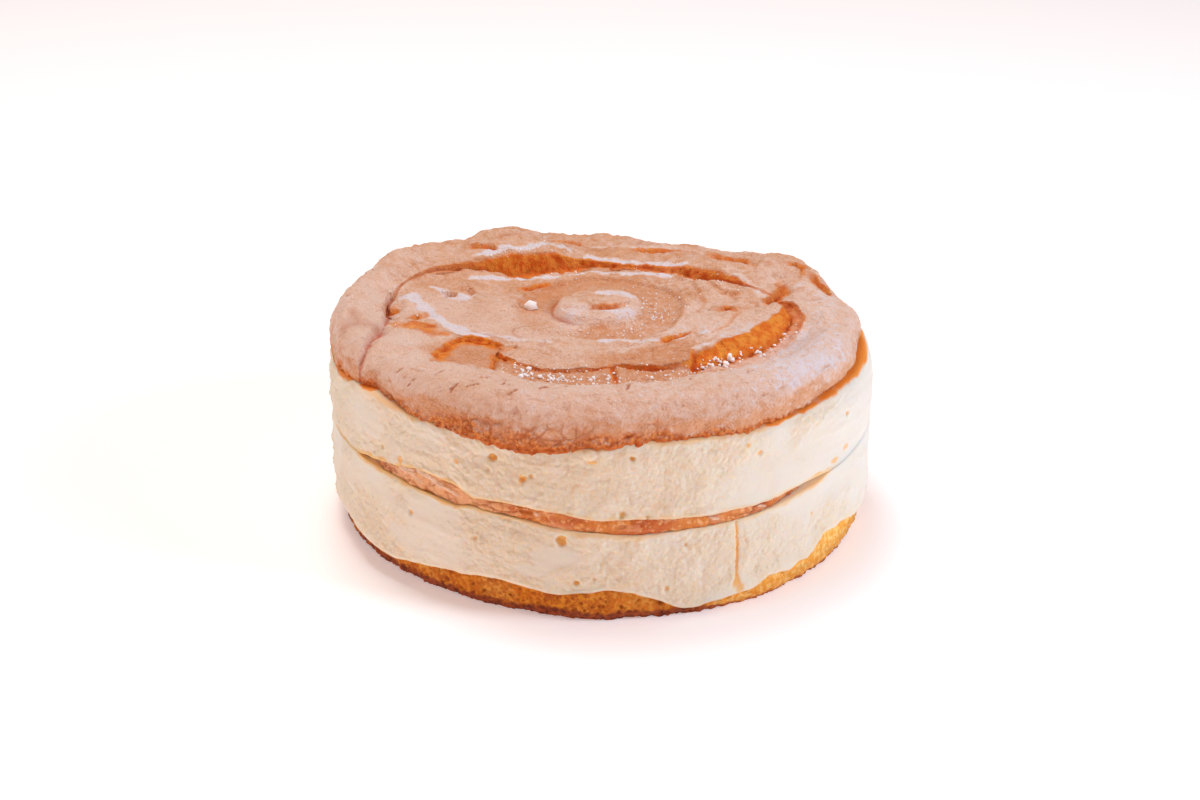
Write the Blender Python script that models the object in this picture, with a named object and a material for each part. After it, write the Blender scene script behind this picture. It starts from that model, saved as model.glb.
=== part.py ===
"""A round floating island cake, 24 cm across and 10 cm high.

From the base up it is a thin sponge, a thick layer of whipped cream, a thin baked meringue disc,
a second thick layer of cream, and a baked meringue swirl whose outer rope rests on the cream.
The origin is the middle of the sponge's underside, +Z is up, and -Y is the front.
Azimuths are in degrees, anticlockwise from +X seen from above, so the front is at 270.
"""

import math

import bmesh
import bpy
import numpy as np

MM = 0.001
GAP = 0.3 * MM

SPONGE_RADIUS = 114.5 * MM
SPONGE_HEIGHT = 16.0 * MM
SPONGE_UNEVENNESS = 0.5 * MM
# The sponge's side from its foot up, as (share of its height, how far it is drawn in).
SPONGE_SIDE = ((0.0, 1.8 * MM), (0.1, 0.5 * MM), (0.35, 0.0), (0.75, 0.2 * MM), (1.0, 1.4 * MM))

CREAM_RADIUS = 118.9 * MM
CREAM_EDGE = 2.6 * MM
CREAM_EDGE_WIDTH = 1.4 * MM
CREAM_UNEVENNESS = 0.35 * MM
CREAM_BELLY_TURN = 150.0
# The lower cream reaches down past the sponge as a thin wall, which tapers from the sponge's top.
CREAM_WALL_CLEARANCE = 1.2 * MM
CREAM_WALL_STEP = 4.0 * MM
CREAM_WALL_TAPER = 0.15
# How much taller and wider the upper cream's edge is for each millimetre that it slumped.
SLUMP_TALL = 2.0
SLUMP_WIDE = 0.75

DISC_RADIUS = 117.0 * MM
DISC_HIDDEN_RADIUS = 112.5 * MM
DISC_THICKNESS = 5.6 * MM
DISC_CENTRE_HEIGHT = 46.0 * MM
DISC_SHOWS_FROM = 2.0 * MM
DISC_SHOWS_FULLY = 4.0 * MM
DISC_UNEVENNESS = 0.5 * MM
DISC_EDGE_INSET = 1.6 * MM
DISC_EDGE_FLAT = 0.4
DISC_EDGE_CLEARANCE = 0.5 * MM

SWIRL_CENTRE = (-2.6 * MM, -4.0 * MM)
SWIRL_BED_HEIGHT = 81.0 * MM

# Heights and radii by azimuth, as (azimuth in degrees, millimetres).
# The lower cream sags over the sponge by a different amount all the way round.
SPONGE_LIP = (
    (5, 15), (40, 17), (80, 12), (118, 15), (160, 13), (200, 14), (220, 10), (232, 14), (240, 15), (247, 16),
    (254, 14), (261, 12.2), (266, 12.5), (272, 14.5), (280, 9.5), (288, 3.6), (294, 5), (301, 6.6), (307, 9),
    (312, 10.4), (316, 11), (320, 14), (325, 18), (340, 14),
)
# Middle of the baked disc at its rim: it is lowest at the front.
DISC_RIM_HEIGHT = (
    (20, 48), (90, 46), (150, 48.5), (210, 50), (222, 51.6), (231, 52.2), (239, 50.6), (244, 48.6),
    (250, 48.3), (255, 47.4), (262, 45.3), (269, 43.4), (277, 42.7), (285, 42.4), (300, 42.6), (308, 43.4),
    (315, 45), (330, 46.8),
)
# Opening between the two creams, where the disc shows. At the right and far left they close over it.
DISC_OPENING = (
    (0, 0.6), (30, 1), (55, 5), (90, 6.4), (120, 5), (150, 3), (176, 0.8), (184, 0.6), (207, 0.6), (213, 2.2),
    (218, 3.4), (224, 5), (231, 9), (239, 9), (243.5, 3.6), (247, 4.6), (250, 5.2), (255, 5.6), (262, 6.4),
    (269, 5.8), (277, 6.8), (285, 5.6), (300, 4.4), (308, 3.4), (315, 3), (321, 1.8), (327, 0.6), (350, 0.6),
)
# Top of the upper cream at its rim, which the swirl's underside follows.
SWIRL_BED_RIM = (
    (0, 79.5), (45, 78), (90, 77), (135, 77), (180, 77.2), (195, 78.2), (206, 81.4), (216, 82), (230, 80),
    (240, 79.6), (250, 77.5), (257, 76.6), (270, 79.3), (280, 80.8), (290, 80.4), (300, 78.6), (310, 79),
    (330, 79.5), (345, 79),
)
# At the right the cream's upper edge slumped outwards and down, and the rope stands clear of it.
CREAM_SHOULDER = (
    (0, 6), (30, 6.5), (60, 5.5), (90, 4.5), (135, 3), (180, 1), (225, 0.6), (270, 0.6), (300, 1.2),
    (320, 3), (340, 5.6),
)
ROPE_FOOT_INSET = (
    (0, 8), (45, 7), (90, 5.5), (170, 4.5), (190, 5), (205, 4), (213, 2.5), (235, 1), (280, 1), (300, 2),
    (320, 5), (340, 8),
)

# The outer rope of the swirl: its ridge, its outermost edge and its inner edge, from the swirl's centre.
# Its tail thins out at the left front, outside the place where the front rope begins.
ROPE_RIDGE_HEIGHT = (
    (0, 95), (12, 94.6), (22, 95.4), (33, 96.4), (42, 93.8), (60, 89.4), (75, 89), (85, 90), (95, 90.4),
    (104, 92.4), (110, 96.2), (116, 97.4), (123, 96.2), (134, 97.6), (145, 100.2), (155, 99.4), (167, 98),
    (180, 98.5), (203, 97.6), (213, 94.8), (222, 96.5), (240, 98.6), (270, 99.4), (315, 99), (340, 97.6),
)
ROPE_OUTER_RADIUS = (
    (0, 115.6), (10, 113), (20, 112.6), (35, 114.5), (60, 113.5), (90, 113), (120, 113.5), (150, 114),
    (180, 115.6), (200, 115), (209, 113), (214, 110), (221, 112.5), (235, 114.5), (255, 116), (270, 115.5),
    (300, 116), (330, 117),
)
ROPE_INNER_RADIUS = (
    (0, 92), (30, 87), (60, 86), (90, 84), (120, 87), (140, 92), (150, 95), (182, 95.5), (200, 93), (214, 88),
    (225, 83), (239, 79), (246, 80), (254, 84), (263, 84), (272, 82), (290, 81), (305, 85), (320, 90),
    (334, 93), (347, 94),
)
ROPE_UNEVENNESS = 0.7 * MM
ROPE_RIDGE_SHARE = 0.58
ROPE_BELLY_SHARE = 0.42
ROPE_REACH_POWER = 0.8
ROPE_FOOT_POWER = 0.5
# Points round the rope's outer side, in degrees up from its belly.
ROPE_SIDE_TURNS = (-60, -30, -3, 24, 46, 66)
# The rope's flank inside its ridge, as (share of the way in, share of the ridge's height that is left).
ROPE_FLANK = ((0.28, 0.94), (0.6, 0.66), (1.0, 0.14))

# The seam between the tail and the front rope runs outwards over the crust from the swirl's left.
SEAM_RADIUS = ((172, 91), (190, 92), (203, 97), (209, 104), (214, 111), (217, 118))
SEAM_DEPTH = ((165, 0), (178, 1.2), (200, 2.4), (212, 4.5), (216, 4.5), (219, 0))
SEAM_HALF_WIDTH = 3.4
# The seam fades out on the rope's outer side, between these shares of the way up to its ridge.
SEAM_FADE = (0.2, 0.8)

# The crust tore between the rope and the crust inside it. The tear goes all the way round, wide
# where its orange walls show and hardly open elsewhere. The crust's two lips have their own heights,
# and each wall leans back from the floor to its lip by its own slope.
TEAR_RADIUS = (
    (2, 84), (12, 79), (30, 69), (42, 64.5), (60, 62), (80, 61.5), (92, 62), (110, 63), (122, 63.5),
    (128, 65), (135, 71), (140, 79), (147, 87.5), (155, 90), (170, 90.5), (182, 90), (190, 82), (200, 71),
    (210, 65), (217, 60.5), (222, 58), (226.5, 59), (230, 64.5), (236, 67), (243, 68), (253, 68.5),
    (260, 67.5), (268, 65.5), (278, 61.5), (288, 67), (296, 71), (304, 75), (313, 77.6), (322, 80.6),
    (337, 84.6), (347, 86), (354, 87),
)
TEAR_HALF_WIDTH = (
    (2, 2), (8, 1), (14, 0.6), (30, 1.6), (42, 2.2), (56, 1.4), (82, 1.2), (98, 2.4), (108, 3.5),
    (120, 3.6), (128, 2.4), (136, 0.8), (144, 0.6), (226, 0.6), (298, 0.6), (305, 1.6), (313, 2.6),
    (337, 2.8), (350, 2),
)
TEAR_INNER_SLOPE = (
    (2, 3), (14, 0.8), (30, 2), (60, 1.4), (82, 1.2), (98, 2.6), (108, 3.8), (120, 4), (132, 2), (142, 0.8),
    (296, 0.9), (305, 4), (313, 7), (322, 9), (340, 10), (350, 7),
)
TEAR_OUTER_SLOPE = (
    (2, 1.5), (14, 0.8), (100, 1.2), (120, 1.6), (142, 0.8), (296, 1.4), (305, 3), (322, 3.4), (345, 2.4),
)
TEAR_DEPTH = (
    (2, 1.6), (10, 0.6), (16, 0.4), (30, 1.8), (42, 2.2), (60, 1.2), (82, 1.2), (98, 2.4), (118, 3),
    (130, 2.4), (142, 0.9), (160, 0.7), (176, 0.6), (186, 0.3), (226, 0.3), (230, 1.2), (238, 1),
    (268, 0.7), (298, 0.8), (309, 0.8), (330, 0.9), (350, 1.2),
)
OUTER_LIP_HEIGHT = (
    (0, 94.6), (20, 94.6), (42, 95), (60, 93), (75, 92), (90, 93), (105, 95.6), (125, 97), (145, 96),
    (165, 95), (190, 95.2), (205, 94), (216, 93.4), (228, 93), (240, 92.4), (255, 92), (275, 91.9),
    (300, 92), (322, 91), (345, 91.6),
)
INNER_LIP_HEIGHT = (
    (0, 95.6), (20, 94.2), (42, 92), (65, 91.4), (90, 91), (110, 91), (130, 91.6), (145, 93.4), (165, 95),
    (190, 95.2), (205, 94.3), (220, 93.9), (232, 93.6), (245, 92.8), (270, 92.3), (290, 92.6), (300, 93.8),
    (308, 95.6), (330, 96.6), (348, 96.6),
)
LEDGE_MIN_WIDTH = 1.5
PLATEAU_HEIGHT = (
    (0, 93.4), (45, 93.2), (90, 93), (140, 93.2), (190, 94), (225, 94.4), (270, 93.8), (315, 93.6),
)
PLATEAU_RADIUS = 47.0
PLATEAU_EDGE_RADIUS = 39.0
PLATEAU_EDGE_DROP = 0.5
GROOVE_RADIUS = 31.0
GROOVE_HEIGHT = 90.6
GROOVE_BANK_SHARE = 0.4

# The curl of the swirl's start stands up at the centre, with a small dip in it. Places are from the
# swirl's own centre.
CURL_CENTRE = (1.6, 6.0)
CURL_RADIUS = 19.0
CURL_EDGE = 2.4
CURL_HEIGHT = 94.8
CURL_RINGS = (28.0, 25.0, 22.0, 19.0, 16.0, 12.0, 8.0, 4.0)
DIP_PLACE = (5.0, 1.5)
DIP_RADIUS = 5.0
DIP_DEPTH = 2.0

# Where the flat faces have their rings, as shares of the radius.
INNER_RING = 0.5
DISC_RINGS = (0.4, 0.8)
SWIRL_UNDER_RINGS = (0.4, 0.75, 0.9, 1.0)
CREAM_TOP_RINGS = (0.91, 0.82, 0.7, 0.4)
# Points up a cream layer's side, as shares of its height.
LOWER_CREAM_LEVELS = (0.0, 0.06, 0.2, 0.45, 0.7, 0.9, 1.0)
UPPER_CREAM_LEVELS = (0.0, 0.08, 0.3, 0.55, 0.76, 0.92, 1.0)

CREAM_COLUMNS = 72
DISC_COLUMNS = 72
SPONGE_COLUMNS = 64
SWIRL_COLUMNS = 96


def clear_scene():
    for old in list(bpy.data.objects):
        bpy.data.objects.remove(old)


def around(stations, azimuth):
    """The value at an azimuth of a smooth closed curve through (azimuth, value) stations."""
    places, values = zip(*sorted(stations))
    places = np.array(places, float)
    values = np.array(values, float)
    count = len(places)
    azimuth = np.mod(np.asarray(azimuth, float) - places[0], 360.0) + places[0]
    before = np.searchsorted(places, azimuth, side="right") - 1
    after = (before + 1) % count
    span = np.mod(places[after] - places[before], 360.0)
    share = np.mod(azimuth - places[before], 360.0) / span
    steps = np.mod(np.roll(places, -1) - places, 360.0)
    slopes = (np.roll(values, -1) - values) / steps
    turning = slopes * np.roll(slopes, 1) > 0
    # A harmonic mean of the two slopes keeps the curve from overshooting a station.
    pairs = np.where(turning, slopes + np.roll(slopes, 1), 1)
    tangent = np.where(turning, 2 * slopes * np.roll(slopes, 1) / pairs, 0)
    square, cube = share**2, share**3
    return (
        values[before] * (2 * cube - 3 * square + 1)
        + values[after] * (3 * square - 2 * cube)
        + tangent[before] * span * (cube - 2 * square + share)
        + tangent[after] * span * (cube - square)
    )


def ease(low, high, value):
    """0 below low, 1 above high, and a smooth rise between them."""
    share = np.clip((value - low) / (high - low), 0.0, 1.0)
    return share * share * (3 - 2 * share)


def unevenness(azimuth, seed, waves=(2, 3, 5, 8, 11, 17)):
    """A seeded wobble round the cake, from about -1 to 1."""
    phases = np.random.default_rng(seed).uniform(0, 2 * math.pi, len(waves))
    turns = np.radians(azimuth)
    return sum(math.cos(phase + k * turns) / math.sqrt(k) for k, phase in zip(waves, phases)) / 2.0


def ring_grid(name, rings, centre, bottom_height, top_height, material):
    """A closed solid through rings of points, from the lowest point on its axis to the highest."""
    mesh = bmesh.new()
    low = mesh.verts.new((*centre, bottom_height))
    loops = [[mesh.verts.new(point) for point in ring] for ring in rings]
    high = mesh.verts.new((*centre, top_height))
    fan(mesh, loops[0], low, up=False)
    for inner, outer in zip(loops, loops[1:]):
        strip(mesh, inner, outer)
    fan(mesh, loops[-1], high, up=True)
    bmesh.ops.triangulate(mesh, faces=mesh.faces, quad_method="SHORT_EDGE")
    data = bpy.data.meshes.new(name)
    mesh.to_mesh(data)
    mesh.free()
    data.shade_smooth()
    data.materials.append(material)
    solid = bpy.data.objects.new(name, data)
    bpy.context.scene.collection.objects.link(solid)
    return solid


def fan(mesh, loop, tip, up):
    for here, after in zip(loop, loop[1:] + loop[:1]):
        mesh.faces.new((here, after, tip) if up else (after, here, tip))


def strip(mesh, first, second):
    """Faces between two rings, whose counts are equal or differ by a factor of two."""
    if len(first) == len(second):
        for k in range(len(first)):
            after = (k + 1) % len(first)
            mesh.faces.new((first[k], first[after], second[after], second[k]))
        return
    fine, coarse = (first, second) if len(first) > len(second) else (second, first)
    for k in range(len(coarse)):
        after = (k + 1) % len(coarse)
        left, middle, right = fine[2 * k], fine[2 * k + 1], fine[(2 * k + 2) % len(fine)]
        if fine is first:
            mesh.faces.new((left, middle, coarse[k]))
            mesh.faces.new((middle, right, coarse[after]))
            mesh.faces.new((middle, coarse[after], coarse[k]))
        else:
            mesh.faces.new((middle, left, coarse[k]))
            mesh.faces.new((right, middle, coarse[after]))
            mesh.faces.new((coarse[after], middle, coarse[k]))


def rings_from_profiles(profile, columns, centre=(0.0, 0.0)):
    """Rings of points from profile(azimuth), a list of (radius, height) from the bottom to the top."""
    azimuths = [360.0 * k / columns for k in range(columns)]
    sides = [profile(azimuth) for azimuth in azimuths]
    rings = []
    for level in range(len(sides[0])):
        ring = []
        for azimuth, side in zip(azimuths, sides):
            radius, height = side[level]
            turn = math.radians(azimuth)
            ring.append((centre[0] + radius * math.cos(turn), centre[1] + radius * math.sin(turn), height))
        rings.append(ring)
    return rings


def baked_material(name, colour, roughness):
    """A matt food surface of one colour, given as linear red, green and blue."""
    material = bpy.data.materials.new(name)
    material.use_nodes = True
    shader = material.node_tree.nodes["Principled BSDF"]
    shader.inputs["Base Color"].default_value = (*colour, 1.0)
    shader.inputs["Roughness"].default_value = roughness
    shader.inputs["Metallic"].default_value = 0.0
    return material


def disc_middle(radius, azimuth):
    """Height of the baked disc's middle: flat at the cake's centre and wavy towards its rim."""
    rim = around(DISC_RIM_HEIGHT, azimuth) * MM
    return DISC_CENTRE_HEIGHT + (rim - DISC_CENTRE_HEIGHT) * (radius / DISC_RADIUS) ** 2


def disc_edge_radius(azimuth):
    """The disc reaches nearly to the cream's side where it shows, and less where the creams close."""
    shown = ease(DISC_SHOWS_FROM, DISC_SHOWS_FULLY, around(DISC_OPENING, azimuth) * MM)
    return DISC_HIDDEN_RADIUS + (DISC_RADIUS - DISC_HIDDEN_RADIUS) * shown


def swirl_bed(radius, azimuth):
    """Height of the surface that the meringue swirl lies on, about the cake's own axis."""
    rim = around(SWIRL_BED_RIM, azimuth) * MM
    return SWIRL_BED_HEIGHT + (rim - SWIRL_BED_HEIGHT) * (min(radius, CREAM_RADIUS) / CREAM_RADIUS) ** 3


def bed_under_swirl(radius, azimuth):
    """Height just above the cream at a place given about the swirl's axis, a little off the cake's."""
    turn = math.radians(azimuth)
    x = SWIRL_CENTRE[0] + radius * math.cos(turn)
    y = SWIRL_CENTRE[1] + radius * math.sin(turn)
    return swirl_bed(math.hypot(x, y), math.degrees(math.atan2(y, x))) + GAP


def rounding(depth, tall, wide):
    """How far an edge has drawn in at a depth below it, for an elliptical edge this tall and wide."""
    share = 1 - min(max(depth / tall, 0.0), 1.0)
    return wide * (1 - math.sqrt(max(0.0, 1 - share * share)))


def cream_side(azimuth, low, high, shoulder, seed, levels):
    """Points up the cream's side between two edge heights, rounded at both edges."""
    upper_edge = CREAM_EDGE + SLUMP_TALL * shoulder
    upper_edge_width = CREAM_EDGE_WIDTH + SLUMP_WIDE * shoulder
    points = []
    for share in levels:
        height = low + (high - low) * share
        inset = rounding(height - low, CREAM_EDGE, CREAM_EDGE_WIDTH)
        inset += rounding(high - height, upper_edge, upper_edge_width)
        belly = CREAM_UNEVENNESS * unevenness(azimuth + CREAM_BELLY_TURN * share, seed)
        points.append((CREAM_RADIUS - inset + belly, height))
    return points


def sponge_profile(azimuth):
    side = SPONGE_RADIUS + SPONGE_UNEVENNESS * unevenness(azimuth, seed=3)
    ring = INNER_RING * SPONGE_RADIUS
    wall = [(side - inset, share * SPONGE_HEIGHT) for share, inset in SPONGE_SIDE]
    return [(ring, 0.0)] + wall + [(ring, SPONGE_HEIGHT)]


def cream_rings_at_disc(azimuth):
    """Radii of the rings where a cream layer lies against the disc, from the middle out."""
    return [share * CREAM_RADIUS for share in DISC_RINGS] + [disc_edge_radius(azimuth) + DISC_EDGE_CLEARANCE]


def lower_cream_profile(azimuth):
    """The layer hangs over the sponge's side as far as its lip, and the disc lies on it."""
    ceiling = SPONGE_HEIGHT + GAP
    lip = around(SPONGE_LIP, azimuth) * MM
    hang = min(lip, ceiling)
    seat = DISC_THICKNESS / 2 + GAP
    opening = around(DISC_OPENING, azimuth) * MM
    high = disc_middle(CREAM_RADIUS, azimuth) - opening / 2 - GAP / 2
    inner_wall = SPONGE_RADIUS + CREAM_WALL_CLEARANCE
    under = [
        (INNER_RING * SPONGE_RADIUS, ceiling),
        (inner_wall - CREAM_WALL_STEP, ceiling),
        (inner_wall, ceiling),
        (inner_wall + GAP, hang + CREAM_WALL_TAPER * (ceiling - hang)),
    ]
    side = cream_side(azimuth, lip, high, 0.0, seed=11, levels=LOWER_CREAM_LEVELS)
    top = [(radius, disc_middle(radius, azimuth) - seat) for radius in reversed(cream_rings_at_disc(azimuth))]
    return under + side + top


def disc_profile(azimuth):
    edge = disc_edge_radius(azimuth)
    half = DISC_THICKNESS / 2
    side = edge + DISC_UNEVENNESS * unevenness(azimuth, seed=5, waves=(7, 11, 16, 23))
    rim = disc_middle(edge, azimuth)
    rings = [share * edge for share in DISC_RINGS] + [edge - DISC_EDGE_INSET]
    low = [(radius, disc_middle(radius, azimuth) - half) for radius in rings]
    high = [(radius, disc_middle(radius, azimuth) + half) for radius in reversed(rings)]
    return low + [(side, rim - DISC_EDGE_FLAT * half), (side, rim + DISC_EDGE_FLAT * half)] + high


def upper_cream_profile(azimuth):
    roof = DISC_THICKNESS / 2 + GAP
    opening = around(DISC_OPENING, azimuth) * MM
    low = disc_middle(CREAM_RADIUS, azimuth) + opening / 2 + GAP / 2
    high = swirl_bed(CREAM_RADIUS, azimuth)
    shoulder = around(CREAM_SHOULDER, azimuth) * MM
    under = [(radius, disc_middle(radius, azimuth) + roof) for radius in cream_rings_at_disc(azimuth)]
    side = cream_side(azimuth, low, high, shoulder, seed=23, levels=UPPER_CREAM_LEVELS)
    top = [(share * CREAM_RADIUS, swirl_bed(share * CREAM_RADIUS, azimuth)) for share in CREAM_TOP_RINGS]
    return under + side + top


def swirl_lines(azimuth):
    """The crust's section inside the rope's ridge, as radii and heights in millimetres from the ridge in."""
    ridge = rope_ridge_radius(azimuth)
    inner = around(ROPE_INNER_RADIUS, azimuth)
    ridge_height = around(ROPE_RIDGE_HEIGHT, azimuth)
    tear = around(TEAR_RADIUS, azimuth)
    half = around(TEAR_HALF_WIDTH, azimuth)
    outer_lip = around(OUTER_LIP_HEIGHT, azimuth)
    inner_lip = around(INNER_LIP_HEIGHT, azimuth)
    floor = min(outer_lip, inner_lip) - around(TEAR_DEPTH, azimuth)
    outer_edge = min(tear + half + around(TEAR_OUTER_SLOPE, azimuth), inner - LEDGE_MIN_WIDTH)
    inner_edge = tear - half - around(TEAR_INNER_SLOPE, azimuth)
    plateau = around(PLATEAU_HEIGHT, azimuth)
    bank = GROOVE_BANK_SHARE * plateau + (1 - GROOVE_BANK_SHARE) * GROOVE_HEIGHT
    fall = ridge_height - outer_lip
    flank = [(ridge + share * (inner - ridge), outer_lip + left * fall) for share, left in ROPE_FLANK]
    return [(ridge, ridge_height)] + flank + [
        (0.5 * (inner + outer_edge), outer_lip),
        (outer_edge, outer_lip),
        (min(tear + half, outer_edge - GAP / MM), floor),
        (tear - half, floor),
        (inner_edge, inner_lip),
        (0.5 * (inner_edge + PLATEAU_RADIUS), 0.5 * (inner_lip + plateau)),
        (PLATEAU_RADIUS, plateau),
        (PLATEAU_EDGE_RADIUS, plateau - PLATEAU_EDGE_DROP),
        (0.5 * (PLATEAU_EDGE_RADIUS + GROOVE_RADIUS), bank),
        (GROOVE_RADIUS, GROOVE_HEIGHT),
    ]


def seam_cut(radius, azimuth):
    """Depth of the seam at a place on the rope, both in millimetres."""
    depth = around(SEAM_DEPTH, azimuth) if SEAM_DEPTH[0][0] < azimuth < SEAM_DEPTH[-1][0] else 0.0
    if depth <= 0:
        return 0.0
    places, radii = zip(*SEAM_RADIUS)
    away = abs(radius - np.interp(azimuth, places, radii))
    return depth * (1 - ease(0.0, SEAM_HALF_WIDTH, away))


def curl_height(x, y):
    """Height of the curl at the swirl's start, which slopes down to the groove round it."""
    away = math.hypot(x - CURL_CENTRE[0], y - CURL_CENTRE[1])
    stand = 1 - ease(CURL_RADIUS - CURL_EDGE, CURL_RADIUS + CURL_EDGE, away)
    from_dip = math.hypot(x - DIP_PLACE[0], y - DIP_PLACE[1])
    dip = DIP_DEPTH * (1 - ease(0.0, DIP_RADIUS, from_dip))
    return GROOVE_HEIGHT + (CURL_HEIGHT - GROOVE_HEIGHT) * stand - dip


def rope_ridge_radius(azimuth):
    """The rope's ridge lies nearer its outer edge than its inner one."""
    inner = around(ROPE_INNER_RADIUS, azimuth)
    outer = around(ROPE_OUTER_RADIUS, azimuth)
    return inner + ROPE_RIDGE_SHARE * (outer - inner)


def swirl_profile(azimuth):
    """The swirl's section: its underside, the rope's belly, and the torn crust in to the curl."""
    lines = swirl_lines(azimuth)
    ridge, ridge_height = lines[0][0] * MM, lines[0][1] * MM
    outer = around(ROPE_OUTER_RADIUS, azimuth) * MM
    outer += ROPE_UNEVENNESS * unevenness(azimuth, seed=31, waves=(6, 9, 14, 19))
    foot = outer - around(ROPE_FOOT_INSET, azimuth) * MM
    bed = bed_under_swirl(foot, azimuth)
    belly = bed + ROPE_BELLY_SHARE * (ridge_height - bed)
    under = [(share * foot, bed_under_swirl(share * foot, azimuth)) for share in SWIRL_UNDER_RINGS]
    side = []
    for turn in ROPE_SIDE_TURNS:
        rise = math.sin(math.radians(turn))
        reach = math.cos(math.radians(turn))
        if rise > 0:
            radius = ridge + (outer - ridge) * reach**ROPE_REACH_POWER
            height = belly + (ridge_height - belly) * rise
        else:
            radius = foot + (outer - foot) * reach**ROPE_FOOT_POWER
            height = belly + (belly - bed) * rise
        side.append((radius, height - seam_cut(radius / MM, azimuth) * MM * ease(*SEAM_FADE, rise)))
    top = [(radius * MM, (height - seam_cut(radius, azimuth)) * MM) for radius, height in lines]
    return under + side + top


def curl_profile(azimuth):
    """The curl's section, from its edge in to the swirl's own axis."""
    turn = math.radians(azimuth)
    points = []
    for radius in CURL_RINGS:
        height = curl_height(radius * math.cos(turn), radius * math.sin(turn))
        points.append((radius * MM, height * MM))
    return points


def build_sponge(material):
    rings = rings_from_profiles(sponge_profile, SPONGE_COLUMNS)
    return ring_grid("sponge_base", rings, (0.0, 0.0), 0.0, SPONGE_HEIGHT, material)


def build_lower_cream(material):
    rings = rings_from_profiles(lower_cream_profile, CREAM_COLUMNS)
    top = DISC_CENTRE_HEIGHT - DISC_THICKNESS / 2 - GAP
    return ring_grid("cream_lower", rings, (0.0, 0.0), SPONGE_HEIGHT + GAP, top, material)


def build_disc(material):
    rings = rings_from_profiles(disc_profile, DISC_COLUMNS)
    bottom = DISC_CENTRE_HEIGHT - DISC_THICKNESS / 2
    return ring_grid("meringue_disc", rings, (0.0, 0.0), bottom, bottom + DISC_THICKNESS, material)


def build_upper_cream(material):
    rings = rings_from_profiles(upper_cream_profile, CREAM_COLUMNS)
    bottom = DISC_CENTRE_HEIGHT + DISC_THICKNESS / 2 + GAP
    return ring_grid("cream_upper", rings, (0.0, 0.0), bottom, SWIRL_BED_HEIGHT, material)


def build_swirl(material):
    crust = rings_from_profiles(swirl_profile, SWIRL_COLUMNS, SWIRL_CENTRE)
    curl = rings_from_profiles(curl_profile, SWIRL_COLUMNS // 2, SWIRL_CENTRE)
    middle = curl_height(0.0, 0.0) * MM
    return ring_grid("meringue_swirl", crust + curl, SWIRL_CENTRE, SWIRL_BED_HEIGHT + GAP, middle, material)


def main():
    clear_scene()
    sponge = baked_material("golden_sponge", (0.80, 0.46, 0.14), 0.85)
    lower_cream = baked_material("lower_whipped_cream", (0.88, 0.78, 0.62), 0.5)
    upper_cream = baked_material("upper_whipped_cream", (0.88, 0.78, 0.64), 0.5)
    disc = baked_material("thin_baked_meringue", (0.76, 0.42, 0.20), 0.6)
    swirl = baked_material("dusted_baked_meringue", (0.72, 0.44, 0.30), 0.8)
    build_sponge(sponge)
    build_lower_cream(lower_cream)
    build_disc(disc)
    build_upper_cream(upper_cream)
    build_swirl(swirl)


main()
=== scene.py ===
"""The looks of a round floating island cake: sponge, whipped cream, a thin baked meringue disc,
more cream, and a baked meringue swirl under icing sugar.

Lengths are in millimetres until a mesh is made. Azimuths are in degrees, anticlockwise from +X
seen from above, so the front, which faces the camera, is at 270.
"""

import itertools
import math

import bpy
import numpy as np
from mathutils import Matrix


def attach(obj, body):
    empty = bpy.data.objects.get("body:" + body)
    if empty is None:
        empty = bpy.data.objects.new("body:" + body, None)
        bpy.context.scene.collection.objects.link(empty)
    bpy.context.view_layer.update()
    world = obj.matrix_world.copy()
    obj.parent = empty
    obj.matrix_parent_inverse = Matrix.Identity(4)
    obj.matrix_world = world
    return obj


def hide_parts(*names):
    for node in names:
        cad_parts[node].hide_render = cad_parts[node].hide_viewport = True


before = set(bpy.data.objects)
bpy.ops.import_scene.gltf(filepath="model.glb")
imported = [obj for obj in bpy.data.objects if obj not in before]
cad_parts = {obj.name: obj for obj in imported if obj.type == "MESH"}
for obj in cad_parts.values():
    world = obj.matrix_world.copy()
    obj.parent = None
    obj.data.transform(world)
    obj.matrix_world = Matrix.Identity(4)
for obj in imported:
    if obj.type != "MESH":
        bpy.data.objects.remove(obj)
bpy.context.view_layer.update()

# Sponge
# A thin disc of yellow genoise, baked in a sheet and cut round with a ring. Its side shows the open
# crumb below the cream, and its foot is the browned skin that lay on the baking paper.

SPONGE_RADIUS = 114.5
SPONGE_BULGE = (
    (0, 0), (180, 0), (228, -2.5), (250, -0.5), (262, 2.5), (268, 4), (280, 2.5), (298, 3), (315, 1.5),
    (335, 0),
)
SPONGE_HEIGHT = 16.0
SPONGE_FOOT_INSET = 1.8
SPONGE_TOP_INSET = 1.4
# How high the browned skin comes up the side.
SPONGE_SKIN = 4.6
# How pale and yellow the crumb is painted round the cake. This is painted light: paler at the right, where
# the key light falls, and deep orange at the front, where warm light bounced onto it.
SPONGE_PALE_AND_LIT = ((0, 0.6), (60, 0.3), (180, 0.2), (250, 0.05), (284, 0.1), (296, 1), (312, 1.3), (335, 1.2))
SPONGE_COLUMNS = 1200
SPONGE_LEVELS = 40
# Pores: (size of the cell that each lies in, depth, share of the cells that have one).
SPONGE_PORES = ((4.2, 1.1, 0.30), (2.1, 0.8, 0.5), (1.1, 0.4, 0.6))
# Torn crumb: how far it stands out, and how wide its bits are.
SPONGE_BITS = (0.8, 3.4)
SPONGE_SMALL_BITS = (0.35, 1.3)


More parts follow.
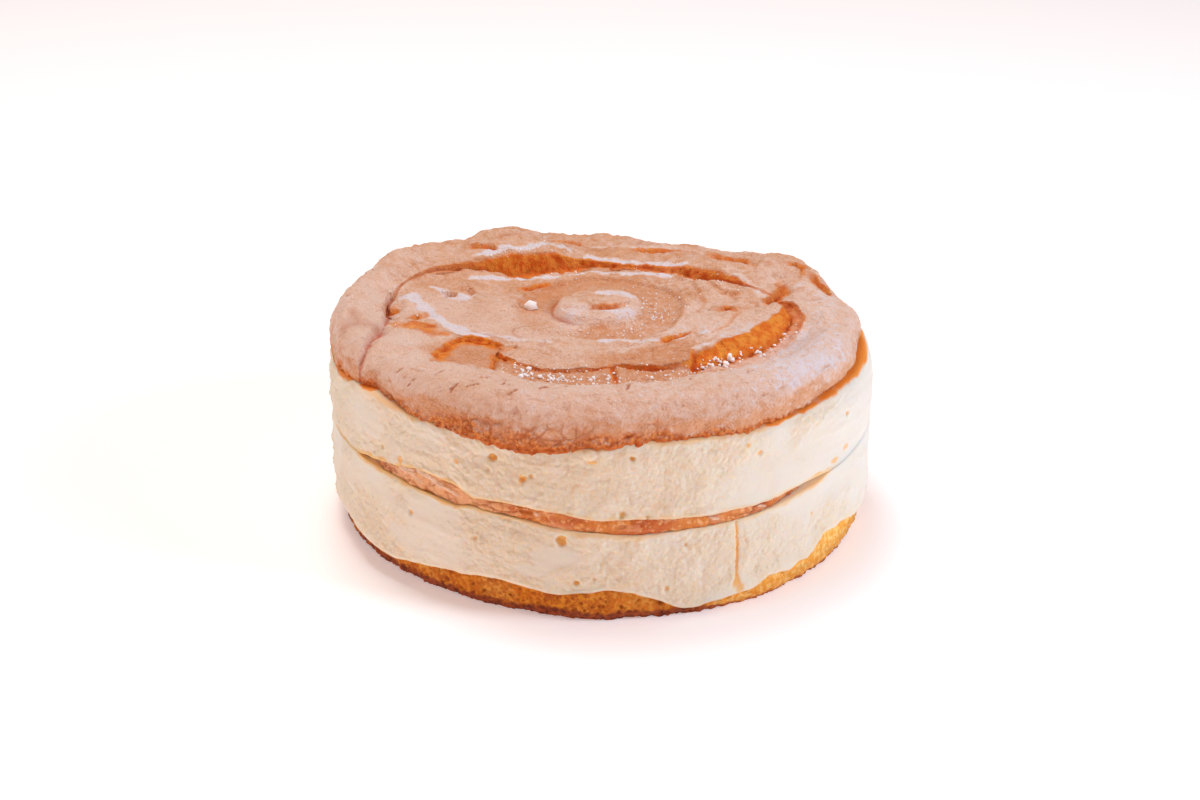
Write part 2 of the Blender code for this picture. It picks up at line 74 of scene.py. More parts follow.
def around(stations, azimuth):
    """The value at an azimuth of a smooth closed curve through (azimuth, value) stations."""
    places, values = (np.array(column, float) for column in zip(*sorted(stations)))
    azimuth = np.mod(np.asarray(azimuth, float) - places[0], 360.0) + places[0]
    before = np.searchsorted(places, azimuth, side="right") - 1
    after = (before + 1) % len(places)
    gap = np.mod(places[after] - places[before], 360.0)
    share = np.mod(azimuth - places[before], 360.0) / gap
    slopes = (np.roll(values, -1) - values) / np.mod(np.roll(places, -1) - places, 360.0)
    turning = slopes * np.roll(slopes, 1) > 0
    # A harmonic mean of the two slopes keeps the curve from overshooting a station.
    pairs = np.where(turning, slopes + np.roll(slopes, 1), 1)
    tangent = np.where(turning, 2 * slopes * np.roll(slopes, 1) / pairs, 0)
    square, cube = share**2, share**3
    return (
        values[before] * (2 * cube - 3 * square + 1)
        + values[after] * (3 * square - 2 * cube)
        + tangent[before] * gap * (cube - 2 * square + share)
        + tangent[after] * gap * (cube - square)
    )


def ease(low, high, value):
    """0 below low, 1 above high, and a smooth rise between them."""
    share = np.clip((value - low) / (high - low), 0.0, 1.0)
    return share * share * (3 - 2 * share)


def fade(low, high, value):
    """1 below low, 0 above high, and a smooth fall between them."""
    return 1 - ease(low, high, value)


def unevenness(azimuth, seed, waves=(2, 3, 5, 8, 11, 17)):
    """A seeded wobble round the cake, from about -1 to 1."""
    phases = np.random.default_rng(seed).uniform(0, 2 * math.pi, len(waves))
    turns = np.radians(azimuth)
    return sum(np.cos(phase + k * turns) / math.sqrt(k) for k, phase in zip(waves, phases)) / 2.0


def scatter(lattice, seed):
    """A repeatable number from 0 to 1 for every cell of a lattice."""
    x, y, z = (lattice[..., k].astype(np.uint64) for k in range(3))
    mixed = x * np.uint64(374761393) + y * np.uint64(668265263) + z * np.uint64(2246822519)
    mixed = (mixed + np.uint64(seed * 974711)) * np.uint64(11400714819323198485)
    mixed ^= mixed >> np.uint64(29)
    mixed *= np.uint64(13787848793156543929)
    return (mixed >> np.uint64(40)).astype(float) / float(1 << 24)


def lumps(points, size, seed):
    """Smooth noise from -1 to 1 with lumps about this many millimetres across."""
    place = points / size + 1000.0
    cell = np.floor(place).astype(np.int64)
    share = place - cell
    share = share * share * (3 - 2 * share)
    total = np.zeros(points.shape[:-1])
    for corner in itertools.product((0, 1), repeat=3):
        corner = np.array(corner)
        weight = np.prod(np.where(corner == 1, share, 1 - share), axis=-1)
        total += weight * scatter(cell + corner, seed)
    return 2 * total - 1


def rough(points, size, seed, octaves=4, gain=0.5):
    """Lumps of halving sizes added together, from about -1 to 1."""
    total = np.zeros(points.shape[:-1])
    for octave in range(octaves):
        total += gain**octave * lumps(points, size / 2**octave, seed + octave)
    return total / (1 - gain**octaves) * (1 - gain) * 1.5


def cells(points, size, seed):
    """Distances in millimetres to the nearest and next scattered point, and the nearest one's number."""
    place = points / size + 1000.0
    cell = np.floor(place).astype(np.int64)
    nearest = np.full(points.shape[:-1], np.inf)
    second = np.full(points.shape[:-1], np.inf)
    number = np.zeros(points.shape[:-1])
    for corner in itertools.product((-1, 0, 1), repeat=3):
        other = cell + np.array(corner)
        away = np.zeros(points.shape[:-1])
        for axis in range(3):
            away += (other[..., axis] + scatter(other, seed + axis) - place[..., axis]) ** 2
        away = np.sqrt(away)
        closer = away < nearest
        second = np.where(closer, nearest, np.minimum(second, away))
        number = np.where(closer, scatter(other, seed + 7), number)
        nearest = np.where(closer, away, nearest)
    return nearest * size, second * size, number


def pores(points, size, share, seed):
    """Depth from 0 to 1 of round pores in a share of the cells, in cells of this many millimetres."""
    nearest, _, number = cells(points, size, seed)
    # The cell's number also gives the pore's radius, from 0.2 to 0.48 of the cell.
    radius = size * (0.2 + 0.28 * np.mod(number * 57.0, 1.0))
    depth = np.sqrt(np.clip(1 - (nearest / radius) ** 2, 0.0, 1.0))
    return np.where(number < share, depth, 0.0)


def ring_points(radius, height, azimuths, centre=(0.0, 0.0)):
    """Points at these radii and heights, whose last axis runs round the azimuths."""
    radius, height, turns = np.broadcast_arrays(radius, height, np.radians(azimuths))
    x = centre[0] + radius * np.cos(turns)
    y = centre[1] + radius * np.sin(turns)
    return np.stack([x, y, height], axis=-1)


def surface_normals(points):
    """Outward normals of a grid of rings, from each point's neighbours up and round."""
    along = np.roll(points, -1, axis=1) - np.roll(points, 1, axis=1)
    normals = np.cross(along, np.gradient(points, axis=0))
    return normals / np.maximum(np.linalg.norm(normals, axis=-1, keepdims=True), 1e-9)


def strip_faces(first, second):
    """Faces between two rings of vertex numbers, whose counts are equal or differ by a factor of two."""
    if len(first) == len(second):
        return [np.stack([first, np.roll(first, -1), np.roll(second, -1), second], axis=1)]
    fine, coarse = (first, second) if len(first) > len(second) else (second, first)
    left, middle, right = fine[::2], fine[1::2], np.roll(fine[::2], -1)
    after = np.roll(coarse, -1)
    faces = [
        np.stack([left, middle, coarse], axis=1),
        np.stack([middle, right, after], axis=1),
        np.stack([middle, after, coarse], axis=1),
    ]
    return faces if fine is first else [face[:, ::-1] for face in faces]


def loft(name, rings, masks=None, ends=None):
    """A closed mesh through rings of points, given in millimetres from the lowest up.

    Two end points close it. Without them the last ring joins the first.
    """
    points = np.concatenate([np.asarray(ring).reshape(-1, 3) for ring in rings])
    starts = np.cumsum([0] + [len(ring) for ring in rings])
    numbers = [np.arange(start, stop) for start, stop in zip(starts, starts[1:])]
    faces = []
    for first, second in zip(numbers, numbers[1:]):
        faces += strip_faces(first, second)
    if ends is None:
        faces += strip_faces(numbers[-1], numbers[0])
    else:
        low, high = len(points), len(points) + 1
        points = np.concatenate([points, np.array(ends, float)])
        first, last = numbers[0], numbers[-1]
        faces.append(np.stack([np.roll(first, -1), first, np.full(len(first), low)], axis=1))
        faces.append(np.stack([last, np.roll(last, -1), np.full(len(last), high)], axis=1))
    mesh = bpy.data.meshes.new(name)
    mesh.vertices.add(len(points))
    mesh.vertices.foreach_set("co", (points / 1000.0).ravel())
    corners = np.concatenate([face.ravel() for face in faces])
    sizes = np.concatenate([np.full(len(face), face.shape[1]) for face in faces])
    mesh.loops.add(len(corners))
    mesh.loops.foreach_set("vertex_index", corners)
    mesh.polygons.add(len(sizes))
    mesh.polygons.foreach_set("loop_start", np.concatenate([[0], np.cumsum(sizes)[:-1]]))
    mesh.polygons.foreach_set("use_smooth", np.ones(len(sizes), bool))
    mesh.update(calc_edges=True)
    piece = bpy.data.objects.new(name, mesh)
    bpy.context.scene.collection.objects.link(piece)
    for mask, values in (masks or {}).items():
        paint(piece, mask, np.concatenate([np.ravel(values), np.zeros(0 if ends is None else 2)]))
    return piece


def paint(piece, mask, values):
    """Keep a value from 0 to 1 for every point of a piece, for its material to read."""
    piece.data.attributes.new(mask, "FLOAT", "POINT").data.foreach_set("value", values.astype(np.float32))


def linear(code):
    """Linear red, green, blue and alpha of an sRGB hex colour."""
    parts = [int(code[k : k + 2], 16) / 255 for k in (1, 3, 5)]
    return [part / 12.92 if part <= 0.04045 else ((part + 0.055) / 1.055) ** 2.4 for part in parts] + [1.0]


def material_for(name, constants):
    """A Principled material, with its constant values set on the shader's own sockets."""
    material = bpy.data.materials.new(name)
    material.use_nodes = True
    shader = material.node_tree.nodes["Principled BSDF"]
    for socket, value in constants.items():
        shader.inputs[socket].default_value = linear(value) if isinstance(value, str) else value
    return material, material.node_tree, shader


def add(tree, kind, inputs, output=0, **settings):
    """Add a node. Its inputs are values, hex colours or sockets, and it gives one of its outputs."""
    node = tree.nodes.new("ShaderNode" + kind)
    for setting, value in settings.items():
        setattr(node, setting, value)
    for socket, value in inputs.items():
        if isinstance(value, bpy.types.NodeSocket):
            tree.links.new(value, node.inputs[socket])
        else:
            node.inputs[socket].default_value = linear(value) if isinstance(value, str) else value
    return node.outputs[output]


def join(tree, shader, sources):
    """Link nodes' outputs to the shader's sockets."""
    for socket, source in sources.items():
        tree.links.new(source, shader.inputs[socket])


# Settings that several nodes share: a colour mix, and a range that fades in and out softly.
COLOUR = {"data_type": "RGBA"}
SOFT = {"interpolation_type": "SMOOTHSTEP"}

columns = np.linspace(0.0, 360.0, SPONGE_COLUMNS, endpoint=False)
rise = np.linspace(0.0, 1.0, SPONGE_LEVELS)[:, None]
side = SPONGE_RADIUS + around(SPONGE_BULGE, columns) + 0.5 * unevenness(columns, seed=3)
inset = SPONGE_FOOT_INSET * fade(0.0, 0.22, rise) + SPONGE_TOP_INSET * ease(0.75, 1.0, rise)
crumb = ring_points(side - inset, SPONGE_HEIGHT * rise, columns)
out = surface_normals(crumb)
pit = np.zeros(crumb.shape[:2])
for size, depth, share in SPONGE_PORES:
    hole = pores(crumb, size, share, seed=int(size * 10))
    pit = np.maximum(pit, hole * min(1.0, depth))
    crumb = crumb - out * (depth * hole)[..., None]
(stand, wide), (small_stand, small_wide) = SPONGE_BITS, SPONGE_SMALL_BITS
bits = stand * rough(crumb, wide, seed=91) + small_stand * lumps(crumb, small_wide, seed=93)
crumb = crumb + out * bits[..., None]
crumb[..., 2] = np.clip(crumb[..., 2], 0.0, SPONGE_HEIGHT)
# Painted light: the crumb is paler round the right side, where the key light falls.
pale = np.clip(around(SPONGE_PALE_AND_LIT, columns) + 0.25 * rough(crumb, 8.0, seed=99), 0, 1)
skin_top = SPONGE_SKIN * (1 - 0.7 * pale + 0.35 * rough(crumb, 12.0, seed=95))
skin_top = skin_top + 0.9 * lumps(crumb, 1.8, seed=97)
skin = fade(-0.8, 0.8, crumb[..., 2] - skin_top)
# The pale crumb is a little deeper in colour towards its foot.
pale = pale * (0.55 + 0.45 * ease(3.0, 11.0, crumb[..., 2]))
# Two rings on the underside and two on the top are hidden, and the underside is all skin.
below = [ring_points(share * side, 0.0, columns) for share in (0.3, 0.9)]
above = [ring_points(share * side, SPONGE_HEIGHT, columns) for share in (0.9, 0.3)]
hidden = 2 * SPONGE_COLUMNS
sponge = loft(
    "sponge_crumb",
    below + list(crumb) + above,
    {
        "pit": np.pad(pit.ravel(), hidden),
        "skin": np.pad(skin.ravel(), hidden, constant_values=(1, 0)),
        "pale": np.pad(pale.ravel(), hidden),
    },
    ends=((0, 0, 0), (0, 0, SPONGE_HEIGHT)),
)

# Genoise: a golden egg-yellow crumb with a dry caramel-brown skin underneath. It is painted deep orange at
# the front as warm bounced light and pale yellow at the right as key light, and darker in its pores as
# painted shade.
sponge_material, tree, shader = material_for(
    "genoise_crumb",
    {
        "Roughness": 0.85,
        "Subsurface Weight": 0.12,
        "Subsurface Radius": (1.0, 0.5, 0.2),
        "Subsurface Scale": 0.0015,
    },
)
place = add(tree, "TexCoord", {}, "Object")
pit, pale, skin = (
    add(tree, "Attribute", {}, "Fac", attribute_name=name) for name in ("pit", "pale", "skin")
)
grain = add(tree, "TexNoise", {"Vector": place, "Scale": 1000 / 2.2, "Detail": 3.0})
crumbs = add(tree, "TexNoise", {"Vector": place, "Scale": 1000 / 1.1, "Detail": 4.0})
patches = add(tree, "TexNoise", {"Vector": place, "Scale": 1000 / 14, "Detail": 3.0})
patches = add(tree, "MapRange", {"Value": patches, "From Min": 0.35, "From Max": 0.65}, **SOFT)
light = add(tree, "MapRange", {"Value": grain, "From Min": 0.42, "From Max": 0.66}, **SOFT)
# Painted shade: the crumb is darker in its pores.
pore_shade = add(tree, "MapRange", {"Value": pit, "To Max": 0.8})
pale_colour = add(tree, "Mix", {0: light, 6: "#FBB448", 7: "#FFD988"}, 2, **COLOUR)
skin_light = add(tree, "MapRange", {"Value": grain, "From Min": 0.35, "From Max": 0.65}, **SOFT)
skin_colour = add(tree, "Mix", {0: skin_light, 6: "#6E2A0C", 7: "#A64C16"}, 2, **COLOUR)
skin_colour = add(tree, "Mix", {0: pale, 6: skin_colour, 7: "#C0682E"}, 2, **COLOUR)
colour = "#CE7008"
for share, coat in (
    (patches, "#AE5204"),
    (light, "#DE8E1A"),
    (pore_shade, "#8A420A"),
    (pale, pale_colour),
    (skin, skin_colour),
):
    colour = add(tree, "Mix", {0: share, 6: colour, 7: coat}, 2, **COLOUR)
bump = add(tree, "Bump", {"Height": crumbs, "Strength": 0.8, "Distance": 0.0008})
join(tree, shader, {"Base Color": colour, "Normal": bump})
sponge.data.materials.append(sponge_material)
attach(sponge, "root")
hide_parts("sponge_base")

# Whipped cream
# Two thick layers of vanilla cream, whipped stiff and set in a ring, then unmoulded. The side shows
# the air holes that touched the ring, patches smeared smooth by the knife, and one dragged line.

CREAM_RADIUS = 118.9
CREAM_EDGE = 1.4
CREAM_EDGE_WIDTH = 0.5
CREAM_UNEVENNESS = 0.35
CREAM_COLUMNS = 1240
CREAM_LEVELS = 68
CREAM_OVERLAP = 0.15
# How far the cream reaches into the sponge's side, and how far in from its edge it meets the disc.
CREAM_GRIP = 0.4
CREAM_ON_DISC = 0.5
# Radii of the rings where the layers touch the disc, which are hidden, and of the upper layer's top.
CREAM_INSIDE_RINGS = (95.0, 47.0)
CREAM_TOP_RINGS = (105.0, 98.0, 83.0, 48.0)

DISC_RADIUS = 118.2
DISC_HIDDEN_RADIUS = 112.5
DISC_THICKNESS = 5.6
DISC_CENTRE_HEIGHT = 46.0
DISC_SHOWS_FROM = 2.0
DISC_SHOWS_FULLY = 4.0
# How far the disc's rim reaches into the cream above and below its opening.
DISC_RIM_TUCK = 0.4
SWIRL_BED_HEIGHT = 81.0

SPONGE_LIP = (
    (5, 15), (40, 17), (80, 12), (118, 15), (160, 13), (200, 14), (220, 10), (232, 14), (240, 15),
    (247, 16), (254, 14), (261, 12.2), (266, 12.5), (272, 14.5), (280, 9.5), (288, 3.6), (294, 5),
    (301, 6.6), (307, 9), (312, 10.4), (316, 11), (320, 14), (325, 18), (340, 14),
)
DISC_RIM_HEIGHT = (
    (20, 48), (90, 46), (150, 48.5), (210, 50), (222, 51.6), (231, 52.2), (239, 50.6), (244, 48.6),
    (250, 48.3), (255, 47.4), (262, 45.3), (269, 43.4), (277, 42.7), (285, 42.4), (300, 42.6), (308, 43.4),
    (315, 45), (330, 46.8),
)
DISC_OPENING = (
    (0, -0.6), (30, 1), (55, 5), (90, 6.4), (120, 5), (150, 3), (176, 0.8), (184, -0.6), (207, -0.6),
    (213, 2.2), (218, 3.4), (224, 5), (231, 9), (239, 9), (243.5, 3.6), (247, 4.6), (250, 5.2), (255, 5.6),
    (262, 6.4), (269, 5.8), (277, 6.8), (285, 5.6), (300, 4.4), (308, 3.4), (315, 3.0), (321, 1.8),
    (327, -0.6), (350, -0.6),
)
SWIRL_BED_RIM = (
    (0, 79.5), (45, 78), (90, 77), (135, 77), (180, 77.2), (195, 78.2), (206, 81.4), (216, 82), (230, 80),
    (240, 79.6), (250, 77.5), (257, 76.6), (270, 79.3), (280, 80.8), (290, 80.4), (300, 78.6), (310, 79),
    (330, 79.5), (345, 79),
)
CREAM_SHOULDER = (
    (0, 6), (30, 6.5), (60, 5.5), (90, 4.5), (135, 3), (180, 1), (225, 0.6), (270, 0.6), (300, 1.2),
    (320, 3), (340, 5.6),
)

# Smears: (azimuth, height, half width along, half height) of patches that the knife pressed smooth.
CREAM_SMEARS = (
    (262, 29, 13, 5), (255, 22, 8, 3), (325, 60, 30, 14), (340, 24, 26, 12), (230, 24, 16, 9),
    (215, 68, 9, 6), (20, 40, 24, 16), (110, 60, 20, 10), (150, 25, 22, 10), (75, 28, 18, 9),
    (238, 40, 8, 3),
)
# Large air holes: (azimuth, height, radius, depth).
CREAM_HOLES = (
    (262, 36.7, 2.6, 1.6), (265, 18, 1.5, 1.2), (268.5, 20, 1.1, 0.8), (248, 70.5, 2.2, 2.4),
    (276, 74, 1.3, 1.3), (254.5, 63, 1.6, 1.2), (256, 64.5, 1.2, 1.0), (244, 33, 1.4, 0.9),
    (303, 68, 1.5, 0.9), (331, 68, 1.5, 0.8), (228, 36, 1.3, 1.0), (219, 60, 1.2, 1.4), (247, 65, 1.2, 0.8),
    (274, 48.6, 2.0, 1.0), (279, 47, 1.4, 0.8), (50, 60, 1.8, 1.6), (98, 33, 2.0, 1.7), (140, 66, 1.5, 1.4),
    (178, 30, 1.8, 1.5), (12, 26, 1.3, 1.0), (80, 70, 1.2, 1.1), (122, 22, 1.3, 1.2), (287, 33, 1.3, 0.9),
    (283, 14, 1.4, 0.9), (300, 30, 1.2, 0.7),
)
# How much of the side the knife or the ring left smooth. The cream is painted whiter where it is smooth,
# which at the right stands partly for the key light falling there.
CREAM_SMOOTHNESS = (
    (0, 1), (40, 0.8), (90, 0.55), (150, 0.5), (200, 0.45), (225, 0.35), (250, 0.15), (280, 0.1),
    (298, 0.3), (312, 0.8),
)
# Small air holes in the coarse cream: (size of the cell that each lies in, depth, share of the cells).
CREAM_PORES = ((5.0, 0.5, 0.05), (2.8, 0.3, 0.12))
# The curds that the ring pulled at: their size, and how far each one reaches.
CURD_SIZE = 2.3
CURD_REACH = 1.8
# Dabs that stand out: (azimuth, height, half width along, half height, how far out).
CREAM_DABS = ((267.6, 76.0, 2.6, 2.8, 1.6), (284, 47.6, 0.8, 1.6, 0.6), (236, 58, 3.0, 1.4, 0.8))
# How much painted warm shade and glow colours the edges of the cream beside the disc, in the gap where the
# layers tuck in.
DISC_GAP_SHADE = (
    (0, 0), (45, 0.2), (90, 0.35), (180, 0.6), (200, 0.9), (218, 0.9), (232, 0.9), (250, 0.7), (290, 0.5),
    (312, 0.6), (322, 0.8), (327, 0.3), (331, 0),
)
# Yellow stains: (azimuth, height, half width along, half height).
YOLK_STAINS = (
    (320, 47.6, 5, 1.2), (326, 50, 4, 1.4), (331, 52.5, 3.4, 1.6), (331, 67.5, 1.8, 1.3),
    (303, 68.5, 1.5, 1.0), (300, 73, 1.6, 1.0), (318, 31, 1.6, 1.2), (299, 9, 2.6, 2.6),
    (225, 58, 1.8, 2.0), (240, 66, 1.2, 1.2), (268, 73, 2.6, 1.0), (254, 63, 1.2, 2.4),
)
# How far down the upper cream the orange under the swirl reaches: partly the swirl's soaked syrup, partly
# painted shade under its overhang.
SYRUP_AND_SHADE_WIDTH = (
    (0, 2.2), (20, 1.3), (50, 0.5), (90, 0.3), (150, 0.25), (192, 0.3), (199, 1.9), (205, 2.0), (209, 0.3),
    (248, 0), (296, 0), (303, 0.5), (314, 1.1), (325, 1.9), (335, 2.1), (350, 2.4),
)
# The dragged line: a yellow split in the lower cream, from under the disc down to the sponge.
SPLIT_AZIMUTH = 298.0
SPLIT_WIDTH = 1.1
SPLIT_DEPTH = 0.7


def disc_middle(radius, azimuth):
    """Height of the baked disc's middle: flat at the cake's centre and wavy towards its rim."""
    rim = around(DISC_RIM_HEIGHT, azimuth)
    return DISC_CENTRE_HEIGHT + (rim - DISC_CENTRE_HEIGHT) * (radius / DISC_RADIUS) ** 2


def disc_rim_half(azimuth):
    """Half the disc's thickness at its rim: it fills the opening where it shows."""
    opening = around(DISC_OPENING, azimuth)
    return np.where(opening > DISC_SHOWS_FROM, 0.5 * opening + DISC_RIM_TUCK, 0.5 * DISC_THICKNESS)


def disc_edge_radius(azimuth):
    """The disc reaches nearly to the cream's side where it shows, and less where the creams close."""
    shown = ease(DISC_SHOWS_FROM, DISC_SHOWS_FULLY, around(DISC_OPENING, azimuth))
    return DISC_HIDDEN_RADIUS + (DISC_RADIUS - DISC_HIDDEN_RADIUS) * shown


def swirl_bed(radius, azimuth):
    """Height of the cream's top, on which the meringue swirl lies."""
    rim = around(SWIRL_BED_RIM, azimuth)
    share = np.minimum(radius, CREAM_RADIUS) / CREAM_RADIUS
    return SWIRL_BED_HEIGHT + (rim - SWIRL_BED_HEIGHT) * share**3


def rounding(depth, tall, wide):
    """How far an edge has drawn in at a depth below it, for an elliptical edge this tall and wide."""
    share = 1 - np.clip(depth / tall, 0.0, 1.0)
    return wide * (1 - np.sqrt(np.clip(1 - share * share, 0.0, 1.0)))


def cream_side(azimuths, low, high, shoulder, seed, low_open=1.0, high_open=1.0):
    """Points up the cream's side between two edge heights, rounded at both edges."""
    # The levels crowd a little towards both edges, where the side turns in.
    share = 0.5 - 0.5 * np.cos(np.linspace(0, math.pi, CREAM_LEVELS))[:, None]
    share = 0.35 * share + 0.65 * np.linspace(0, 1, CREAM_LEVELS)[:, None]
    height = low + (high - low) * share
    inset = low_open * rounding(height - low, CREAM_EDGE, CREAM_EDGE_WIDTH)
    tall, wide = CREAM_EDGE + 2 * shoulder, CREAM_EDGE_WIDTH + 0.75 * shoulder
    inset = inset + high_open * rounding(high - height, tall, wide)
    belly = CREAM_UNEVENNESS * unevenness(azimuths + 150 * share, seed)
    # Where the two layers close over the disc their sides meet flush.
    belly = belly * (low_open + (1 - low_open) * ease(0.0, 8.0, height - low))
    belly = belly * (high_open + (1 - high_open) * ease(0.0, 8.0, high - height))
    points = ring_points(CREAM_RADIUS - inset + belly, height, azimuths)
    # The layers' edges wander a little where the cream met its neighbour.
    wander = 0.5 * rough(points, 9.0, seed + 51, octaves=3) * low_open * high_open
    points[..., 2] += wander * fade(0.0, 3.0, np.minimum(height - low, high - height))
    return points


def side_place(points):
    """Azimuth in degrees and height of points on the cake's side."""
    return np.degrees(np.arctan2(points[..., 1], points[..., 0])) % 360, points[..., 2]


def arc_away(azimuth, middle, radius=CREAM_RADIUS):
    """Signed distance in millimetres along the cake's side from an azimuth."""
    return np.radians((azimuth - middle + 180) % 360 - 180) * radius


def from_patch(azimuth, height, patch, radius=CREAM_RADIUS, slope=0.0):
    """Squared distance from a patch's middle on the cake's side, which is 1 round the patch's edge."""
    middle, level, wide, tall = patch
    along = arc_away(azimuth, middle, radius)
    return (along / wide) ** 2 + ((height - level + slope * along) / tall) ** 2


def whip(side, low, high, parted, seed, split=False):
    """The cream's side with its air holes, smears and dragged line, and masks of what shows where."""
    out = surface_normals(side)
    out[..., 2] *= 0.3
    azimuth, height = side_place(side)
    smooth = 0.9 * around(CREAM_SMOOTHNESS, azimuth) + 0.5 * rough(side, 24.0, seed + 41, octaves=2)
    smooth = ease(0.25, 0.75, smooth)
    frayed = 1.1 * rough(side, 12.0, seed + 40)
    for patch in CREAM_SMEARS:
        reach = from_patch(azimuth, height, patch) + frayed
        smooth = np.maximum(smooth, 0.85 * fade(0.3, 1.2, reach))
    # The knife and the ring leave a thin even lip along both edges of a layer.
    from_edge = np.minimum(height - low, high - height) + 0.8 * rough(side, 7.0, seed)
    smooth = np.maximum(smooth, 0.8 * fade(0.6, 1.8, from_edge))
    coarse = 1 - 0.85 * smooth
    relief = 0.5 * rough(side, 30.0, seed, octaves=2)
    nearest, _, number = cells(side, CURD_SIZE, seed + 11)
    curds = (0.4 + 0.8 * number) * ease(0.0, 1.0, 1 - nearest / CURD_REACH)
    curds = curds + 0.3 * lumps(side, 2.0, seed + 13) - 0.1
    relief += coarse * (0.65 * curds + 0.8 * rough(side, 7.0, seed + 3, octaves=2))
    # Low ridges run round the side where the knife dragged.
    drags = np.stack([side[..., 0], side[..., 1], 2.6 * side[..., 2]], axis=-1)
    ridge = 1 - np.clip(np.abs(lumps(drags, 17.0, seed + 15)) / 0.09, 0, 1)
    relief += 0.35 * ridge * ease(0.1, 0.5, lumps(side, 22.0, seed + 17))
    # Painted warm shade: the hollows between the curds are coloured yellow-tan.
    hollow_shade = ease(0.1, 0.7, 0.1 - curds) * ease(-0.5, 0.3, rough(side, 10.0, seed + 21))
    hollow_shade *= 0.2 + 0.8 * coarse
    # The holes' depth, kept for painted warm shade, which colours them yellow.
    pit = np.zeros(azimuth.shape)
    patchy = coarse * ease(-0.35, 0.25, lumps(side, 19.0, seed + 19))
    for size, depth, share in CREAM_PORES:
        hole = pores(side, size, share, seed + int(size * 7)) * (0.25 * coarse + 0.75 * patchy)
        relief -= depth * hole
        pit = np.maximum(pit, 0.6 * hole * depth)
    uneven = 1 + 0.3 * lumps(side, 1.6, seed)
    for middle, level, radius, depth in CREAM_HOLES:
        away = np.hypot(arc_away(azimuth, middle), height - level) / (radius * uneven)
        hole = np.sqrt(np.clip(1 - away**2, 0.0, 1.0))
        relief -= depth * hole
        pit = np.maximum(pit, hole * min(1.3, 0.8 * depth))
    syrup_and_shade = np.zeros(azimuth.shape)
    stain_and_shade = np.zeros(azimuth.shape)
    if split:
        line = arc_away(azimuth, SPLIT_AZIMUTH + 0.5 * rough(side, 14.0, seed + 30, octaves=3))
        width = SPLIT_WIDTH * (0.7 + 1.6 * fade(10.0, 17.0, height))
        reach = ease(8.0, 11.0, height) * fade(39.5, 41.5, height)
        cut = fade(0.4, 1.1, np.abs(line) / width) * reach
        relief -= SPLIT_DEPTH * cut
        # The dragged line is yellow of its own; the lower edge by the sponge gets painted warm shade under
        # its lip.
        stain_and_shade = np.maximum(cut, 0.6 * fade(0.2, 0.9, height - low))
    else:
        for middle, level, wide, tall, lift in CREAM_DABS:
            away = np.hypot(arc_away(azimuth, middle) / wide, (height - level) / tall)
            relief += lift * np.sqrt(np.clip(1 - away**2, 0.0, 1.0))
        # Partly syrup, partly painted shade under the swirl's overhang.
        wide = around(SYRUP_AND_SHADE_WIDTH, azimuth)
        down = high - height + rough(side, 8.0, seed + 33, octaves=3)
        syrup_and_shade = np.where(wide > 0.2, np.clip(1 - down / np.maximum(wide, 0.01), 0.0, 1.0), 0.0)
        # Painted warm shade under the rope's overhang at the front.
        under_rope = high - height + 0.8 * rough(side, 6.0, seed + 31)
        stain_and_shade = 0.7 * fade(0.3, 2.2, under_rope)
        stain_and_shade *= ease(200.0, 225.0, azimuth) * fade(300.0, 318.0, azimuth)
    # Painted warm shade and glow along the edges beside the disc.
    from_disc = (high - height if split else height - low) + 0.8 * rough(side, 5.0, seed + 37)
    stain_and_shade = np.maximum(stain_and_shade, around(DISC_GAP_SHADE, azimuth) * fade(0.4, 2.2, from_disc))
    frayed = 0.8 * rough(side, 3.5, seed + 35)
    for patch in YOLK_STAINS:
        reach = from_patch(azimuth, height, patch) + frayed
        stain_and_shade = np.maximum(stain_and_shade, 0.85 * fade(0.2, 1.1, reach))
    flush = (1 - parted) * fade(0.0, 6.0, high - height if split else height - low)
    relief *= 1 - flush
    masks = {"pit": pit, "hollow_shade": hollow_shade, "smooth": smooth, "stain_and_shade": stain_and_shade, "syrup_and_shade": syrup_and_shade}
    return side + out * relief[..., None], masks


# Chantilly: soft ivory, a little see-through so that light warms inside it, matt and gritty where its air
# holes are open, whiter and faintly moist where it was smeared, and whiter at the right partly as painted
# key light. Its holes and hollows are painted yellow as warm shade, and so are its edges under the rope and
# beside the disc and the sponge; the yellow stains are its own, and the orange under the swirl is partly
# syrup and partly painted shade.
cream_material, tree, shader = material_for(
    "whipped_cream",
    {
        "Specular IOR Level": 0.3,
        "Subsurface Weight": 0.7,
        "Subsurface Radius": (1.0, 0.68, 0.4),
        "Subsurface Scale": 0.005,
    },
)
place = add(tree, "TexCoord", {}, "Object")
pit, hollow_shade, smooth, stain_and_shade, syrup_and_shade = (
    add(tree, "Attribute", {}, "Fac", attribute_name=name)
    for name in ("pit", "hollow_shade", "smooth", "stain_and_shade", "syrup_and_shade")
)
clouds = add(tree, "TexNoise", {"Vector": place, "Scale": 1000 / 16, "Detail": 3.0})
clouds = add(tree, "MapRange", {"Value": clouds, "From Min": 0.35, "From Max": 0.7}, **SOFT)
curds = add(tree, "TexNoise", {"Vector": place, "Scale": 1000 / 1.3, "Detail": 2.0})
granule_size = {"Vector": place, "Scale": 1000 / 1.5, "Smoothness": 0.5}
granules = add(tree, "TexVoronoi", granule_size, feature="SMOOTH_F1")
speckle = add(tree, "MapRange", {"Value": curds, "From Min": 0.5, "From Max": 0.68, "To Max": 0.35}, **SOFT)
# Painted warm shade: yellow in the hollows and the holes.
hollow_shade = add(tree, "MapRange", {"Value": hollow_shade, "To Max": 0.65})
